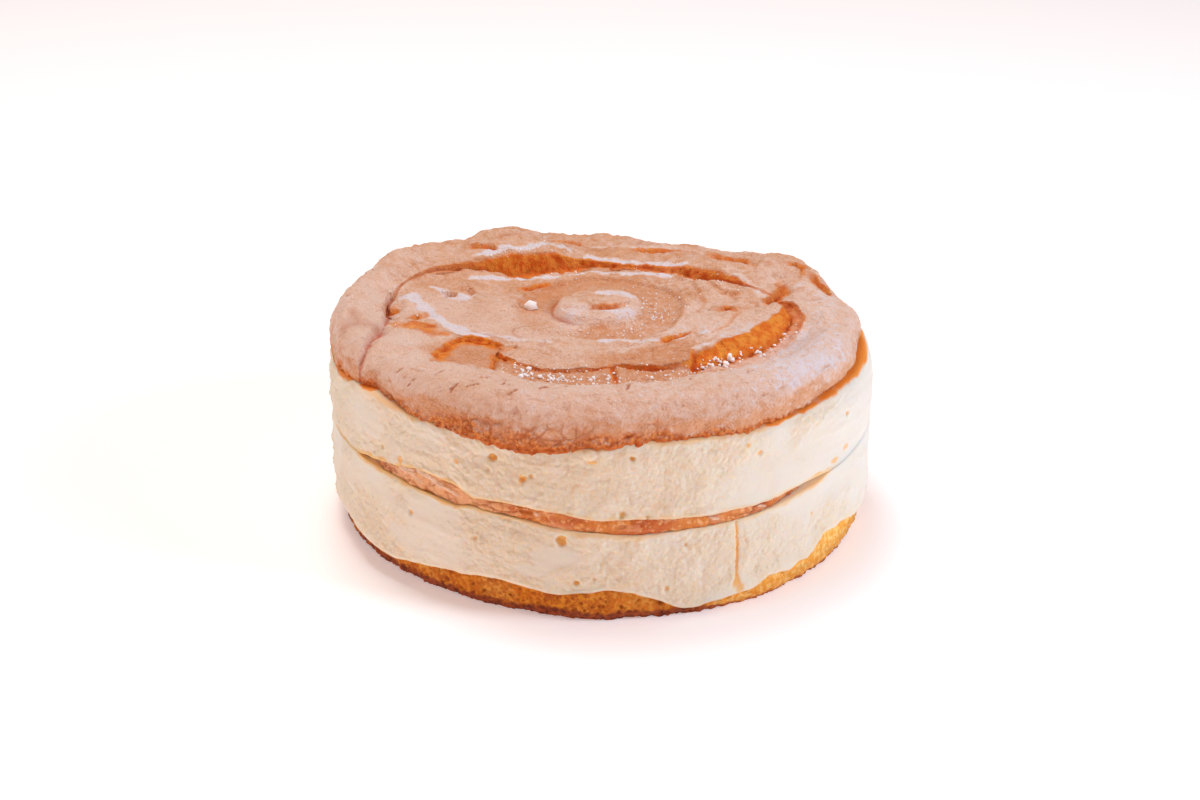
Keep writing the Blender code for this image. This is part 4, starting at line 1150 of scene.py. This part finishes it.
def baked_relief(points, out, kind):
    """The swirl's skin with its heaves, wrinkles, crazing and tears, and masks of what shows where."""
    radius, azimuth = polar(points)
    coarse = around(CRUST_COARSENESS, azimuth)
    facing_up = np.where(kind == TORN, 1.0, ease(0.3, 0.75, out[:, 2]))
    tear_shows = tear_bareness(azimuth)
    # Taken from a ring narrower than the rope's, the noise is drawn out along the rope.
    drawn = ring_points(WRINKLE_RING, radius - points[:, 2], azimuth)
    # Broad heaves, wrinkles that run along the rope, and the fine crinkling of the dried skin.
    relief = 1.1 * coarse * rough(points, 27.0, seed=501, octaves=2)
    on_rope = 0.4 + 0.6 * ease(70.0, 90.0, radius)
    relief += 0.8 * coarse * rough(points, 14.0, seed=505, octaves=2) * on_rope
    relief += 0.6 * coarse * rough(drawn, 9.0, seed=511, octaves=3)
    crinkle = 0.45 - np.abs(lumps(points, 5.2, seed=513)) - 0.5 * np.abs(lumps(points, 2.6, seed=514))
    relief += 0.7 * (0.6 + 0.4 * coarse) * crinkle
    relief += 0.2 * rough(points, 1.9, seed=517, octaves=1)
    fold = 1 - np.clip(np.abs(lumps(drawn, 15.0, seed=527)) / 0.05, 0, 1)
    fold *= ease(0.15, 0.5, lumps(points, 24.0, seed=529))
    cut, lift = cracked(points, out, kind)
    # The low front of the rope dried into flakes, with open joints between them.
    shifted = points + 1.6 * np.stack([lumps(points, 6.0, seed) for seed in (531, 533, 535)], axis=1)
    low_side = fade(85, 92, points[:, 2] + 2 * lumps(points, 9.0, seed=545))
    low_side *= ease(228, 240, azimuth) * fade(276, 300, azimuth)
    near, second, number = cells(shifted, 7.5, seed=547)
    relief += 1.1 * (number - 0.5) * low_side * ease(0.0, 1.4, second - near)
    joint = fade(0.1, 1.0, second - near) * low_side * ease(-0.25, 0.1, lumps(points, 7.0, seed=549))
    cut = np.maximum(cut, 0.6 * joint)
    pit = pores(points, 4.6, 0.07, seed=551) + pores(points, 2.2, 0.12, seed=553)
    relief += 0.35 * lift - 0.8 * cut - 0.4 * fold * coarse - 0.3 * pit
    # The groove round the curl sank and stayed smoother.
    relief *= 1 - 0.5 * fade(-4.0, 2.0, radius - around(GROOVE_EDGE, azimuth))
    torn = np.where(kind == TORN, 1.0, 0.0)
    wall = 0.7 * rough(points, 3.0, seed=561, octaves=3) - 0.6 * pores(points, 2.0, 0.4, seed=563)
    relief = np.where(kind == TORN, wall * tear_shows, relief)
    # The rim that lay low on the cream is crumbly.
    rise = points[:, 2] - bed_under_swirl(np.minimum(radius, 112.0), azimuth)
    rim = fade(0.3, 1.0, rise / around(RIM_HEIGHT, azimuth) + 0.4 * lumps(points, 6.0, seed=571))
    rim *= ease(90.0, 96.0, radius)
    relief += 0.75 * rim * rough(points, 2.1, seed=573, octaves=2)
    relief -= 0.5 * rim * pores(points, 1.9, 0.4, seed=575)
    relief = np.where(kind == HIDDEN, 0.0, relief)
    drop = np.zeros(len(points))
    wander = rough(points, 4.0, seed=583, octaves=3)
    away, right = beside_line(points, SEAM)
    away = away + 0.8 * wander
    slope = np.clip(1 - away / SEAM_APRON, 0, 1) ** 2
    drop += SEAM_DEPTH * np.where(right, slope, fade(0.4, 2.2, away)) * ease(84.0, 90.0, points[:, 2])
    # Painted shade darkens the seam's line.
    crevice_shade = 0.7 * fade(0.2, 1.3, away)
    aura = np.zeros(len(points))
    outside = ease(-1.6, -0.2, radius - around(TEAR_RADIUS, azimuth))
    floor_dust = around(TEAR_FLOOR_DUST, azimuth) * outside * torn
    torn *= tear_shows * (1 - floor_dust)
    floor = np.minimum(around(OUTER_LIP_HEIGHT, azimuth), around(INNER_LIP_HEIGHT, azimuth))
    above_floor = points[:, 2] - floor + around(TEAR_DEPTH, azimuth) + 0.6 * wander
    # Painted shade darkens the tear's walls towards its floor.
    crevice_shade = np.maximum(crevice_shade, 0.4 * torn * fade(0.2, 1.6, above_floor))
    for line, half, depth, apron, bareness in SPLITS:
        away, right = beside_line(points, line)
        to_tips = [np.linalg.norm(points[:, :2] - tip, axis=1) for tip in (line[0], line[-1])]
        inward = ease(-1.5, 1.5 + 2 * min(2.0, half), np.minimum(*to_tips))
        away = away + 1.2 * min(1.3, half) * wander + half * (1 - inward)
        slope = np.clip(1 - (away - 0.5) / (half + apron), 0, 1) ** 1.5
        drop += depth * inward * np.where(right, slope, fade(0.5, 1.5, away)) * facing_up
        shallow = fade(0.9 * half, 1.4 * half + 0.2 * apron, away)
        bare = np.where(right, shallow, fade(1.3, 2.0, away))
        bareness *= inward
        torn = np.maximum(torn, bareness * bare * facing_up)
        aura = np.maximum(aura, 0.6 * bareness * fade(0.8 * half, half + 3.5, away) * facing_up)
        # Painted shade darkens each split along its line.
        crevice_shade = np.maximum(crevice_shade, 0.75 * bareness**2 * fade(0.2, 1.2, away) * facing_up)
    shown = kind != HIDDEN
    moved = points + out * relief[:, None]
    moved[:, 2] -= np.where(shown & (points[:, 2] > SWIRL_BED_HEIGHT + 3), drop, 0.0)
    crack = np.clip(cut + 0.4 * fold + 0.3 * pit, 0, 1) * (1 - torn)
    # Juice coloured the lowest edge of the rope, at the front, orange, and painted shade darkens it where
    # it meets the cream.
    hem = fade(0.3, 1.6, rise + 0.5 * wander) * ease(104.0, 106.0, radius) * (kind == CRUST)
    hem *= ease(236, 250, azimuth) * fade(298, 318, azimuth)
    torn = np.maximum(torn, 0.35 * hem)
    crevice_shade = np.maximum(crevice_shade, 0.35 * hem)
    masks = {"torn": torn, "crevice_shade": crevice_shade, "rim": rim, "crack": crack, "dusty": floor_dust, "tan": aura}
    return moved, masks


def dusted(points, out, masks):
    """How thickly icing sugar lies: an even film where the skin faces up, and drifts in some places."""
    radius, azimuth = polar(points)
    # The film is full on the rope, thinner inside it, and thickest on the curl.
    full = ease(78.0, 92.0, radius) + 1.6 - 1.6 * ease(16.0, 24.0, radius)
    film = around(FILM, azimuth) * (FILM_INSIDE + (1 - FILM_INSIDE) * full)
    thick = 0.6 * ease(-0.4, 0.6, out[:, 2]) * film + 0.16 * rough(points, 13.0, seed=601, octaves=3)
    thick *= (1 - 0.65 * masks["tan"]) * (1 - 0.55 * masks["rim"])
    frayed = 0.75 * rough(points, 5.5, seed=603, octaves=4)
    for line, half, strength in DUST_STREAKS:
        away = beside_line(points, line)[0] / half + frayed
        thick = np.maximum(thick, 1.2 * strength * fade(0.3, 1.2, away) * ease(0.2, 0.6, out[:, 2]))
    thick = np.clip(thick, 0, 1.2) * (1 - 0.85 * masks["torn"]) * (1 - 0.6 * masks["crack"])
    return np.maximum(thick, 0.8 * masks.pop("dusty"))


def bake(piece, kind):
    """Give a piece of the swirl its baked relief and its masks, and return its points and normals."""
    points, out = surface_of(piece)
    moved, masks = baked_relief(points, out, kind)
    reshape(piece, moved)
    moved, out = surface_of(piece)
    radius, azimuth = polar(moved)
    x, y = moved[:, 0] - SWIRL_CENTRE[0] - CURL_CENTRE[0], moved[:, 1] - SWIRL_CENTRE[1] - CURL_CENTRE[1]
    wander = 1.6 * rough(moved, 8.0, seed=611)
    from_curl = np.hypot(x, y) + 0.4 * wander - CURL_RADIUS
    from_edge = radius - around(GROOVE_EDGE, azimuth)
    in_groove = fade(-3.0, 0.5, from_edge + wander) * ease(-1.5, 2.5, from_curl)
    in_groove *= around(GROOVE_TAN, azimuth)
    # A dark line of painted shade lies along the curl's foot at the left.
    curl_foot_shade = fade(0.0, 1.4, np.abs(from_curl - 1.6)) * ease(5.0, 14.0, np.hypot(x - 14, y + 12))
    curl_foot_shade = 0.5 * curl_foot_shade * ease(110, 125, azimuth) * fade(215, 240, azimuth)
    masks["crevice_shade"] = np.maximum(masks["crevice_shade"], curl_foot_shade)
    from_tear = radius - around(TEAR_RADIUS, azimuth)
    shelf = around(SHELF, azimuth) * ease(-1.5, 1.5, from_tear)
    shelf *= fade(-3.0, 2.0, radius - around(ROPE_INNER_RADIUS, azimuth) + wander)
    inner_shelf = around(INNER_SHELF, azimuth) * ease(-3.0, 2.0, radius - INNER_SHELF_FROM + wander)
    inner_shelf *= fade(-1.5, 1.5, from_tear)
    masks["tan"] = np.clip(np.max([masks["tan"], in_groove, shelf, inner_shelf], axis=0), 0, 1)
    masks["dust"] = dusted(moved, out, masks)
    masks["freckled"] = around(FRECKLES, azimuth)
    for mask, values in masks.items():
        paint(piece, mask, values)
    return moved, out


columns = np.linspace(0.0, 360.0, ROPE_COLUMNS, endpoint=False)
middle, half, outer_lip, inner_lip, floor = tear_at(columns)
inner = around(ROPE_INNER_RADIUS, columns)
outer = around(ROPE_OUTER_RADIUS, columns) + 0.7 * unevenness(columns, seed=31, waves=(6, 9, 14, 19))
ridge = inner + ROPE_RIDGE_SHARE * (around(ROPE_OUTER_RADIUS, columns) - inner)
ridge_height = around(ROPE_RIDGE_HEIGHT, columns) - ROPE_RIDGE_HEAVE
foot = outer - around(ROPE_FOOT_INSET, columns)
bed = bed_under_swirl(foot, columns) - CREAM_OVERLAP
hem = 0.5 * rough(ring_points(110.0, 0.0, columns), 9.0, seed=431, octaves=3)
low_edge = bed - around(ROPE_SKIRT, columns) * (1 + hem)
belly = bed + ROPE_BELLY_SHARE * (ridge_height - bed)
lip_radius = np.minimum(middle + half + ragged(OUTER_SLOPE, columns, seed=433), inner - 1.0)
hidden = middle - half - 3.0

under, side, flank, ledge, wall, ground = ROPE_SECTION
turn = np.radians(np.linspace(-90, 90, side))[:, None]
reach = np.clip(np.cos(turn), 0, 1)
above = ridge + (outer - ridge) * reach**ROPE_REACH_POWER
below = foot + (outer - foot) * reach**ROPE_FOOT_POWER
tall = np.where(turn > 0, ridge_height - belly, belly - low_edge)
share = np.linspace(0.0, 1.0, flank + 1)[1:, None]
underneath = span(hidden, foot, under)
sections = [
    (underneath, bed_under_swirl(underneath, columns) - CREAM_OVERLAP, HIDDEN),
    (np.where(turn > 0, above, below), belly + tall * np.sin(turn), CRUST),
    (ridge + (inner - ridge) * share, outer_lip + (ridge_height - outer_lip) * (1 - share**2), CRUST),
    (span(inner, lip_radius, ledge + 1)[1:], outer_lip, CRUST),
    (span(lip_radius, middle + half, wall), span(outer_lip, floor, wall), TORN),
    (span(middle + half, middle - half, ground), floor, TORN),
    (span(middle - half, hidden, 2), span(floor, floor - 2.5, 2), TORN),
]
radius, height, kind = stacked(sections)
radius[under:] = blurred(radius, 2)[under:]
height[under:] = blurred(height, 2)[under:]
rope = loft("meringue_rope", list(ring_points(radius, height, columns, SWIRL_CENTRE)))
rope_skin = bake(rope, kind.ravel())

columns = np.linspace(0.0, 360.0, CRUST_COLUMNS, endpoint=False)
middle, half, outer_lip, inner_lip, floor = tear_at(columns)
lip_radius = middle - half - ragged(INNER_SLOPE, columns, seed=441)
plateau = around(PLATEAU_HEIGHT, columns)
edge = around(GROOVE_EDGE, columns)
under = SWIRL_BED_HEIGHT - CREAM_OVERLAP
# From the tear's inner lip over the plateau and down into the groove: (radius, height, rings before it).
knots = (
    (lip_radius, inner_lip, 0),
    (0.5 * (lip_radius + edge + 6.0), 0.5 * (inner_lip + plateau) - 0.3, 25),
    (edge + 3.0, plateau, 20),
    (edge - 1.0, plateau - 0.4, 8),
    (edge - 3.6, GROOVE_HEIGHT + 0.5 + 0 * columns, 8),
    (CURL_FOOT + 0 * columns, GROOVE_HEIGHT + 0 * columns, 6),
)
sections = [
    (span(0.5 * lip_radius, lip_radius, 4), under, HIDDEN),
    (middle - half, span(under + 0 * columns, floor, 5), HIDDEN),
    (span(middle - half, lip_radius, 10), span(floor, inner_lip, 10), TORN),
]
for (from_radius, from_height, _), (to_radius, to_height, steps) in zip(knots, knots[1:]):
    rise = from_height + (to_height - from_height) * ease(0.0, 1.0, np.arange(steps)[:, None] / steps)
    sections.append((span(from_radius, to_radius, steps), rise, CRUST))
radius, height, kind = stacked(sections)
rings = list(ring_points(radius, height, columns, SWIRL_CENTRE))
# Rings of the groove and the curl close in on the middle, with fewer points where they crowd.
count = CRUST_COLUMNS
for distance in np.arange(CURL_FOOT, 0.4, -CRUST_RING_SPACING):
    if count > 60 and 2 * math.pi * distance / count < 0.3:
        count //= 2
    spots = np.linspace(0.0, 360.0, count, endpoint=False)
    rings.append(ring_points(distance, GROOVE_HEIGHT, spots, SWIRL_CENTRE))
crust = np.concatenate(rings)
x, y = crust[:, 0] - SWIRL_CENTRE[0], crust[:, 1] - SWIRL_CENTRE[1]
x, y = x - CURL_CENTRE[0], y - CURL_CENTRE[1]
from_curl = np.hypot(x, y) + 1.2 * lumps(crust, 11.0, seed=451)
soft_side = ease(-0.6, 0.7, np.cos(np.arctan2(y, x) - math.radians(CURL_SOFT_SIDE)))
half_edge = CURL_EDGE + (CURL_SOFT_EDGE - CURL_EDGE) * soft_side
stand = fade(-1.0, 1.0, (from_curl - CURL_RADIUS) / half_edge)
rise = (CURL_HEIGHT - GROOVE_HEIGHT) * stand + CURL_DOME * np.clip(1 - (from_curl / CURL_RADIUS) ** 2, 0, 1)
crust[:, 2] += np.where(crust[:, 2] > SWIRL_BED_HEIGHT + 4, rise, 0.0)
starts = np.cumsum([0] + [len(ring) for ring in rings])
rings = [crust[a:b] for a, b in zip(starts, starts[1:])]
middle_top = rings[-1].mean(axis=0)
kind = np.concatenate([kind.ravel(), np.full(len(crust) - kind.size, CRUST), (HIDDEN, CRUST)])
crust = loft("meringue_crust", rings, ends=((*SWIRL_CENTRE, under), middle_top))
crust_skin = bake(crust, kind)

# Baked meringue crust: a dry tan skin under a thin film of icing sugar, which makes it pinkish and chalky.
# It is orange and moist in the tears, and caramel-brown along the crumbly rim that lay low. Its crevices
# carry painted dark red-orange shade: the seam, the foot of the tears' walls, the splits, the curl's foot
# at the left and the rope's lowest edge at the front.
crust_material, tree, shader = material_for(
    "sugared_meringue_crust",
    {
        "Roughness": 0.82,
        "Specular IOR Level": 0.3,
        "Subsurface Weight": 0.08,
        "Subsurface Radius": (1.0, 0.5, 0.25),
        "Subsurface Scale": 0.0015,
    },
)
place = add(tree, "TexCoord", {}, "Object")
torn, crevice_shade, rim, crack, dust, tan, freckled = (
    add(tree, "Attribute", {}, "Fac", attribute_name=name)
    for name in ("torn", "crevice_shade", "rim", "crack", "dust", "tan", "freckled")
)
blotches, mottle, grain, powder = (
    add(tree, "TexNoise", {"Vector": place, "Scale": 1000 / size, "Detail": detail, "Roughness": roughness})
    for size, detail, roughness in ((11, 3.0, 0.5), (3.4, 5.0, 0.6), (1.7, 5.0, 0.65), (1.0, 3.0, 0.5))
)
crumb_size = {"Vector": place, "Scale": 1000 / 1.7, "Smoothness": 0.3}
crumbs = add(tree, "TexVoronoi", crumb_size, feature="SMOOTH_F1")
tan, rim, crack = (
    add(tree, "MapRange", {"Value": mask, "To Max": most})
    for mask, most in ((tan, 0.75), (rim, 0.95), (crack, 0.85))
)
cover = add(tree, "Math", {0: powder, 1: 0.8, 2: dust}, operation="MULTIPLY_ADD")
freckles = add(tree, "Math", {0: mottle, 1: 0.5}, operation="SUBTRACT")
cover = add(tree, "Math", {0: freckles, 1: freckled, 2: cover}, operation="MULTIPLY_ADD")
blotched, between, spots, film, drift, yellow, brown = (
    add(tree, "MapRange", {"Value": value, "From Min": low, "From Max": high, "To Max": most}, **SOFT)
    for value, low, high, most in (
        (blotches, 0.35, 0.65, 1.0),
        (crumbs, 0.35, 0.7, 1.0),
        (grain, 0.5, 0.66, 0.7),
        (cover, 0.42, 1.08, 0.9),
        (cover, 1.0, 1.4, 0.9),
        (mottle, 0.38, 0.62, 1.0),
        (grain, 0.52, 0.7, 0.55),
    )
)
rim_colour = add(tree, "Mix", {0: between, 6: "#F09850", 7: "#CC6626"}, 2, **COLOUR)
torn_colour = add(tree, "Mix", {0: yellow, 6: "#EC741C", 7: "#FAA03C"}, 2, **COLOUR)
torn_colour = add(tree, "Mix", {0: brown, 6: torn_colour, 7: "#D85E14"}, 2, **COLOUR)
colour = "#DFA075"
for share, coat in (
    (blotched, "#E9B28C"),
    (tan, "#E0986A"),
    (rim, rim_colour),
    (spots, "#CC7C48"),
    (film, "#F4D3C1"),
    (drift, "#F1E6EC"),
    (crack, "#BC6032"),
    (torn, torn_colour),
    # Painted shade in the crevices.
    (crevice_shade, "#C8480E"),
):
    colour = add(tree, "Mix", {0: share, 6: colour, 7: coat}, 2, **COLOUR)
height = add(tree, "Math", {0: powder, 1: 0.8, 2: grain}, operation="MULTIPLY_ADD")
crumble = add(tree, "Math", {0: crumbs, 1: rim}, operation="MULTIPLY")
height = add(tree, "Math", {0: crumble, 1: -1.2, 2: height}, operation="MULTIPLY_ADD")
bump = add(tree, "Bump", {"Height": height, "Strength": 1.0, "Distance": 0.0013})
join(tree, shader, {"Base Color": colour, "Normal": bump})
for piece in (rope, crust):
    piece.data.materials.append(crust_material)
    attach(piece, "root")
    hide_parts("meringue_swirl")

# Sugar grains
# Icing sugar that clumped when it was sieved: small white crumbs on the crust, thickest on the
# front shelf, at the right of the groove and in the wide tear.

# Grains: (places in plan along which they lie, how far from there, how many, how large).
GRAIN_PLACES = (
    (((-35, -72), (-10, -78), (14, -78), (34, -74)), 7.0, 130, 0.8),
    (((-32, -72), (-26, -76), (-12, -79), (8, -80)), 3.0, 60, 1.15),
    (((16, -14), (24, -4), (26, 8), (20, 18)), 7.0, 130, 0.55),
    (((44, -62), (58, -54), (72, -40), (82, -22)), 3.0, 46, 1.2),
    (((46, -61), (57, -54), (70, -44)), 2.0, 9, 2.6),
    (((-20, -20), (-4, -26), (12, -24)), 6.0, 60, 0.5),
    (((-50, 50), (-30, 66), (-12, 72)), 4.0, 40, 0.6),
    (((60, 20), (40, 60), (0, 76), (-50, 60), (-70, 10)), 24.0, 160, 0.5),
    (((-60, -80), (0, -104), (60, -84), (96, -20)), 10.0, 110, 0.45),
    (((-32, 5), (-31.5, 5.5)), 0.6, 1, 3.2),
)
# A grain's middle stands above the skin by this share of its size, so its underside is sunk in.
GRAIN_STAND = 0.25
# Grains lie on skin that faces up at least this much, and is above this height.
GRAIN_FACING = 0.45
GRAIN_LOWEST = 86.0


def crumb_shape():
    """Points and faces of one lump: an icosahedron, each face split into four."""
    golden = (1 + math.sqrt(5)) / 2
    corners = [(a, b * golden, 0) for a in (-1, 1) for b in (-1, 1)]
    corners += [(0, a, b * golden) for a in (-1, 1) for b in (-1, 1)]
    corners += [(b * golden, 0, a) for a in (-1, 1) for b in (-1, 1)]
    corners = np.array(corners, float)
    faces = []
    for trio in itertools.combinations(range(12), 3):
        a, b, c = corners[list(trio)]
        if max(np.linalg.norm(a - b), np.linalg.norm(b - c), np.linalg.norm(c - a)) < 2.1:
            outward = np.dot(np.cross(b - a, c - a), a + b + c) > 0
            faces.append(trio if outward else trio[::-1])
    points, halves, split = list(corners), {}, []
    for a, b, c in faces:
        between = []
        for pair in ((a, b), (b, c), (c, a)):
            key = tuple(sorted(pair))
            if key not in halves:
                halves[key] = len(points)
                points.append((points[pair[0]] + points[pair[1]]) / 2)
            between.append(halves[key])
        ab, bc, ca = between
        split += [(a, ab, ca), (ab, b, bc), (ca, bc, c), (ab, bc, ca)]
    points = np.array(points)
    return points / np.linalg.norm(points, axis=1, keepdims=True), np.array(split)


def scattered_crumbs(name, spots, sizes, seed):
    """One mesh of irregular crumbs of these sizes, sunk a little into the surface at these spots."""
    rng = np.random.default_rng(seed)
    shape, faces = crumb_shape()
    points = []
    for spot, size in zip(spots, sizes):
        turned = shape @ np.linalg.qr(rng.normal(size=(3, 3)))[0]
        uneven = turned * rng.uniform(0.7, 1.25, (len(shape), 1)) * rng.uniform(0.65, 1.1, 3)
        points.append(spot + 0.5 * size * uneven)
    points = np.concatenate(points)
    trios = np.concatenate([faces + k * len(shape) for k in range(len(spots))])
    mesh = bpy.data.meshes.new(name)
    mesh.from_pydata((points / 1000.0).tolist(), [], trios.tolist())
    mesh.polygons.foreach_set("use_smooth", np.ones(len(trios), bool))
    piece = bpy.data.objects.new(name, mesh)
    bpy.context.scene.collection.objects.link(piece)
    return piece


rng = np.random.default_rng(71)
skin = np.concatenate([rope_skin[0], crust_skin[0]])
facing = np.concatenate([rope_skin[1], crust_skin[1]])
is_open = (facing[:, 2] > GRAIN_FACING) & (skin[:, 2] > GRAIN_LOWEST)
open_skin, open_facing = skin[is_open], facing[is_open]
spots, sizes = [], []
for line, reach, count, size in GRAIN_PLACES:
    likely = np.exp(-((beside_line(open_skin, line)[0] / reach) ** 2))
    chosen = rng.choice(len(open_skin), count, replace=False, p=likely / likely.sum())
    grown = size * rng.lognormal(0.0, 0.35, count)
    spots.append(open_skin[chosen] + open_facing[chosen] * GRAIN_STAND * grown[:, None])
    sizes.append(grown)
sugar = scattered_crumbs("icing_sugar_grains", np.concatenate(spots), np.concatenate(sizes), seed=73)

# Icing sugar: opaque chalk-white with a faint lavender cast in its shade.
sugar_settings = {"Roughness": 1.0, "Specular IOR Level": 0.2}
sugar_material, tree, shader = material_for("clumped_icing_sugar", sugar_settings)
place = add(tree, "TexCoord", {}, "Object")
specks = add(tree, "TexNoise", {"Vector": place, "Scale": 1000 / 0.6})
specks = add(tree, "MapRange", {"Value": specks, "From Min": 0.35, "From Max": 0.65}, **SOFT)
colour = add(tree, "Mix", {0: specks, 6: "#FBF4F4", 7: "#FFFDFD"}, 2, **COLOUR)
join(tree, shader, {"Base Color": colour})
sugar.data.materials.append(sugar_material)
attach(sugar, "root")

# Studio
# A white sweep, a soft key light at the right, a broad weak warm one at the left, one overhead, and a
# faint warm one low in front.

CAMERA_PLACE = (-0.7, -1157.2, 545.0)
CAMERA_PITCH = 23.2
CAMERA_LENS = 85.0
CAMERA_SENSOR = 36.0
FLOOR_HALF = 6000.0
# The sweep lies this far below the cake's foot, so that the two faces don't coincide.
FLOOR_DROP = 0.2

floor_mesh = bpy.data.meshes.new("studio_floor")
half, level = FLOOR_HALF / 1000, -FLOOR_DROP / 1000
corners = [(x * half, y * half, level) for x, y in ((-1, -1), (1, -1), (1, 1), (-1, 1))]
floor_mesh.from_pydata(corners, [], [(0, 1, 2, 3)])
studio_floor = bpy.data.objects.new("studio_floor", floor_mesh)
bpy.context.scene.collection.objects.link(studio_floor)
# White paper: matt, and lit a little from itself, as a sweep under studio light looks.
sweep_settings = {
    "Base Color": "#FBF8FA",
    "Roughness": 0.9,
    "Emission Color": "#FFFDFF",
    "Emission Strength": 0.28,
}
floor_mesh.materials.append(material_for("white_paper_sweep", sweep_settings)[0])


def soft_light(name, place, aim, size, power, colour):
    """A square softbox at a place in millimetres, turned to its aim, with its power in watts."""
    lamp = bpy.data.lights.new(name, "AREA")
    lamp.size = size / 1000
    lamp.energy = power
    lamp.color = linear(colour)[:3]
    holder = bpy.data.objects.new(name, lamp)
    holder.location = [length / 1000 for length in place]
    way = np.array(aim, float) - np.array(place, float)
    yaw = math.atan2(way[1], way[0]) - math.pi / 2
    pitch = math.atan2(math.hypot(way[0], way[1]), -way[2])
    holder.rotation_euler = (pitch, 0.0, yaw)
    bpy.context.scene.collection.objects.link(holder)


soft_light("key_right", (1300, -450, 800), (0, 0, 50), 520, 13.8, "#EAF0FF")
soft_light("fill_left", (-1400, -600, 600), (0, 0, 50), 900, 5.6, "#FFE6DA")
soft_light("overhead", (-250, 400, 1500), (0, 0, 60), 700, 14.8, "#FFF8F4")
soft_light("warm_bounce", (-150, -750, 90), (0, 0, 50), 500, 1.0, "#FFB27A")

world = bpy.data.worlds.new("studio")
world.use_nodes = True
bpy.context.scene.world = world
world.node_tree.nodes["Background"].inputs["Color"].default_value = linear("#FFE9DA")
world.node_tree.nodes["Background"].inputs["Strength"].default_value = 0.17
bpy.context.scene.view_settings.view_transform = "Standard"

camera = bpy.data.cameras.new("camera")
camera.lens = CAMERA_LENS
camera.sensor_width = CAMERA_SENSOR
camera.clip_end = 100.0
camera_holder = bpy.data.objects.new("camera", camera)
camera_holder.location = [length / 1000 for length in CAMERA_PLACE]
camera_holder.rotation_euler = (math.radians(90 - CAMERA_PITCH), 0.0, 0.0)
bpy.context.scene.collection.objects.link(camera_holder)
bpy.context.scene.camera = camera_holder
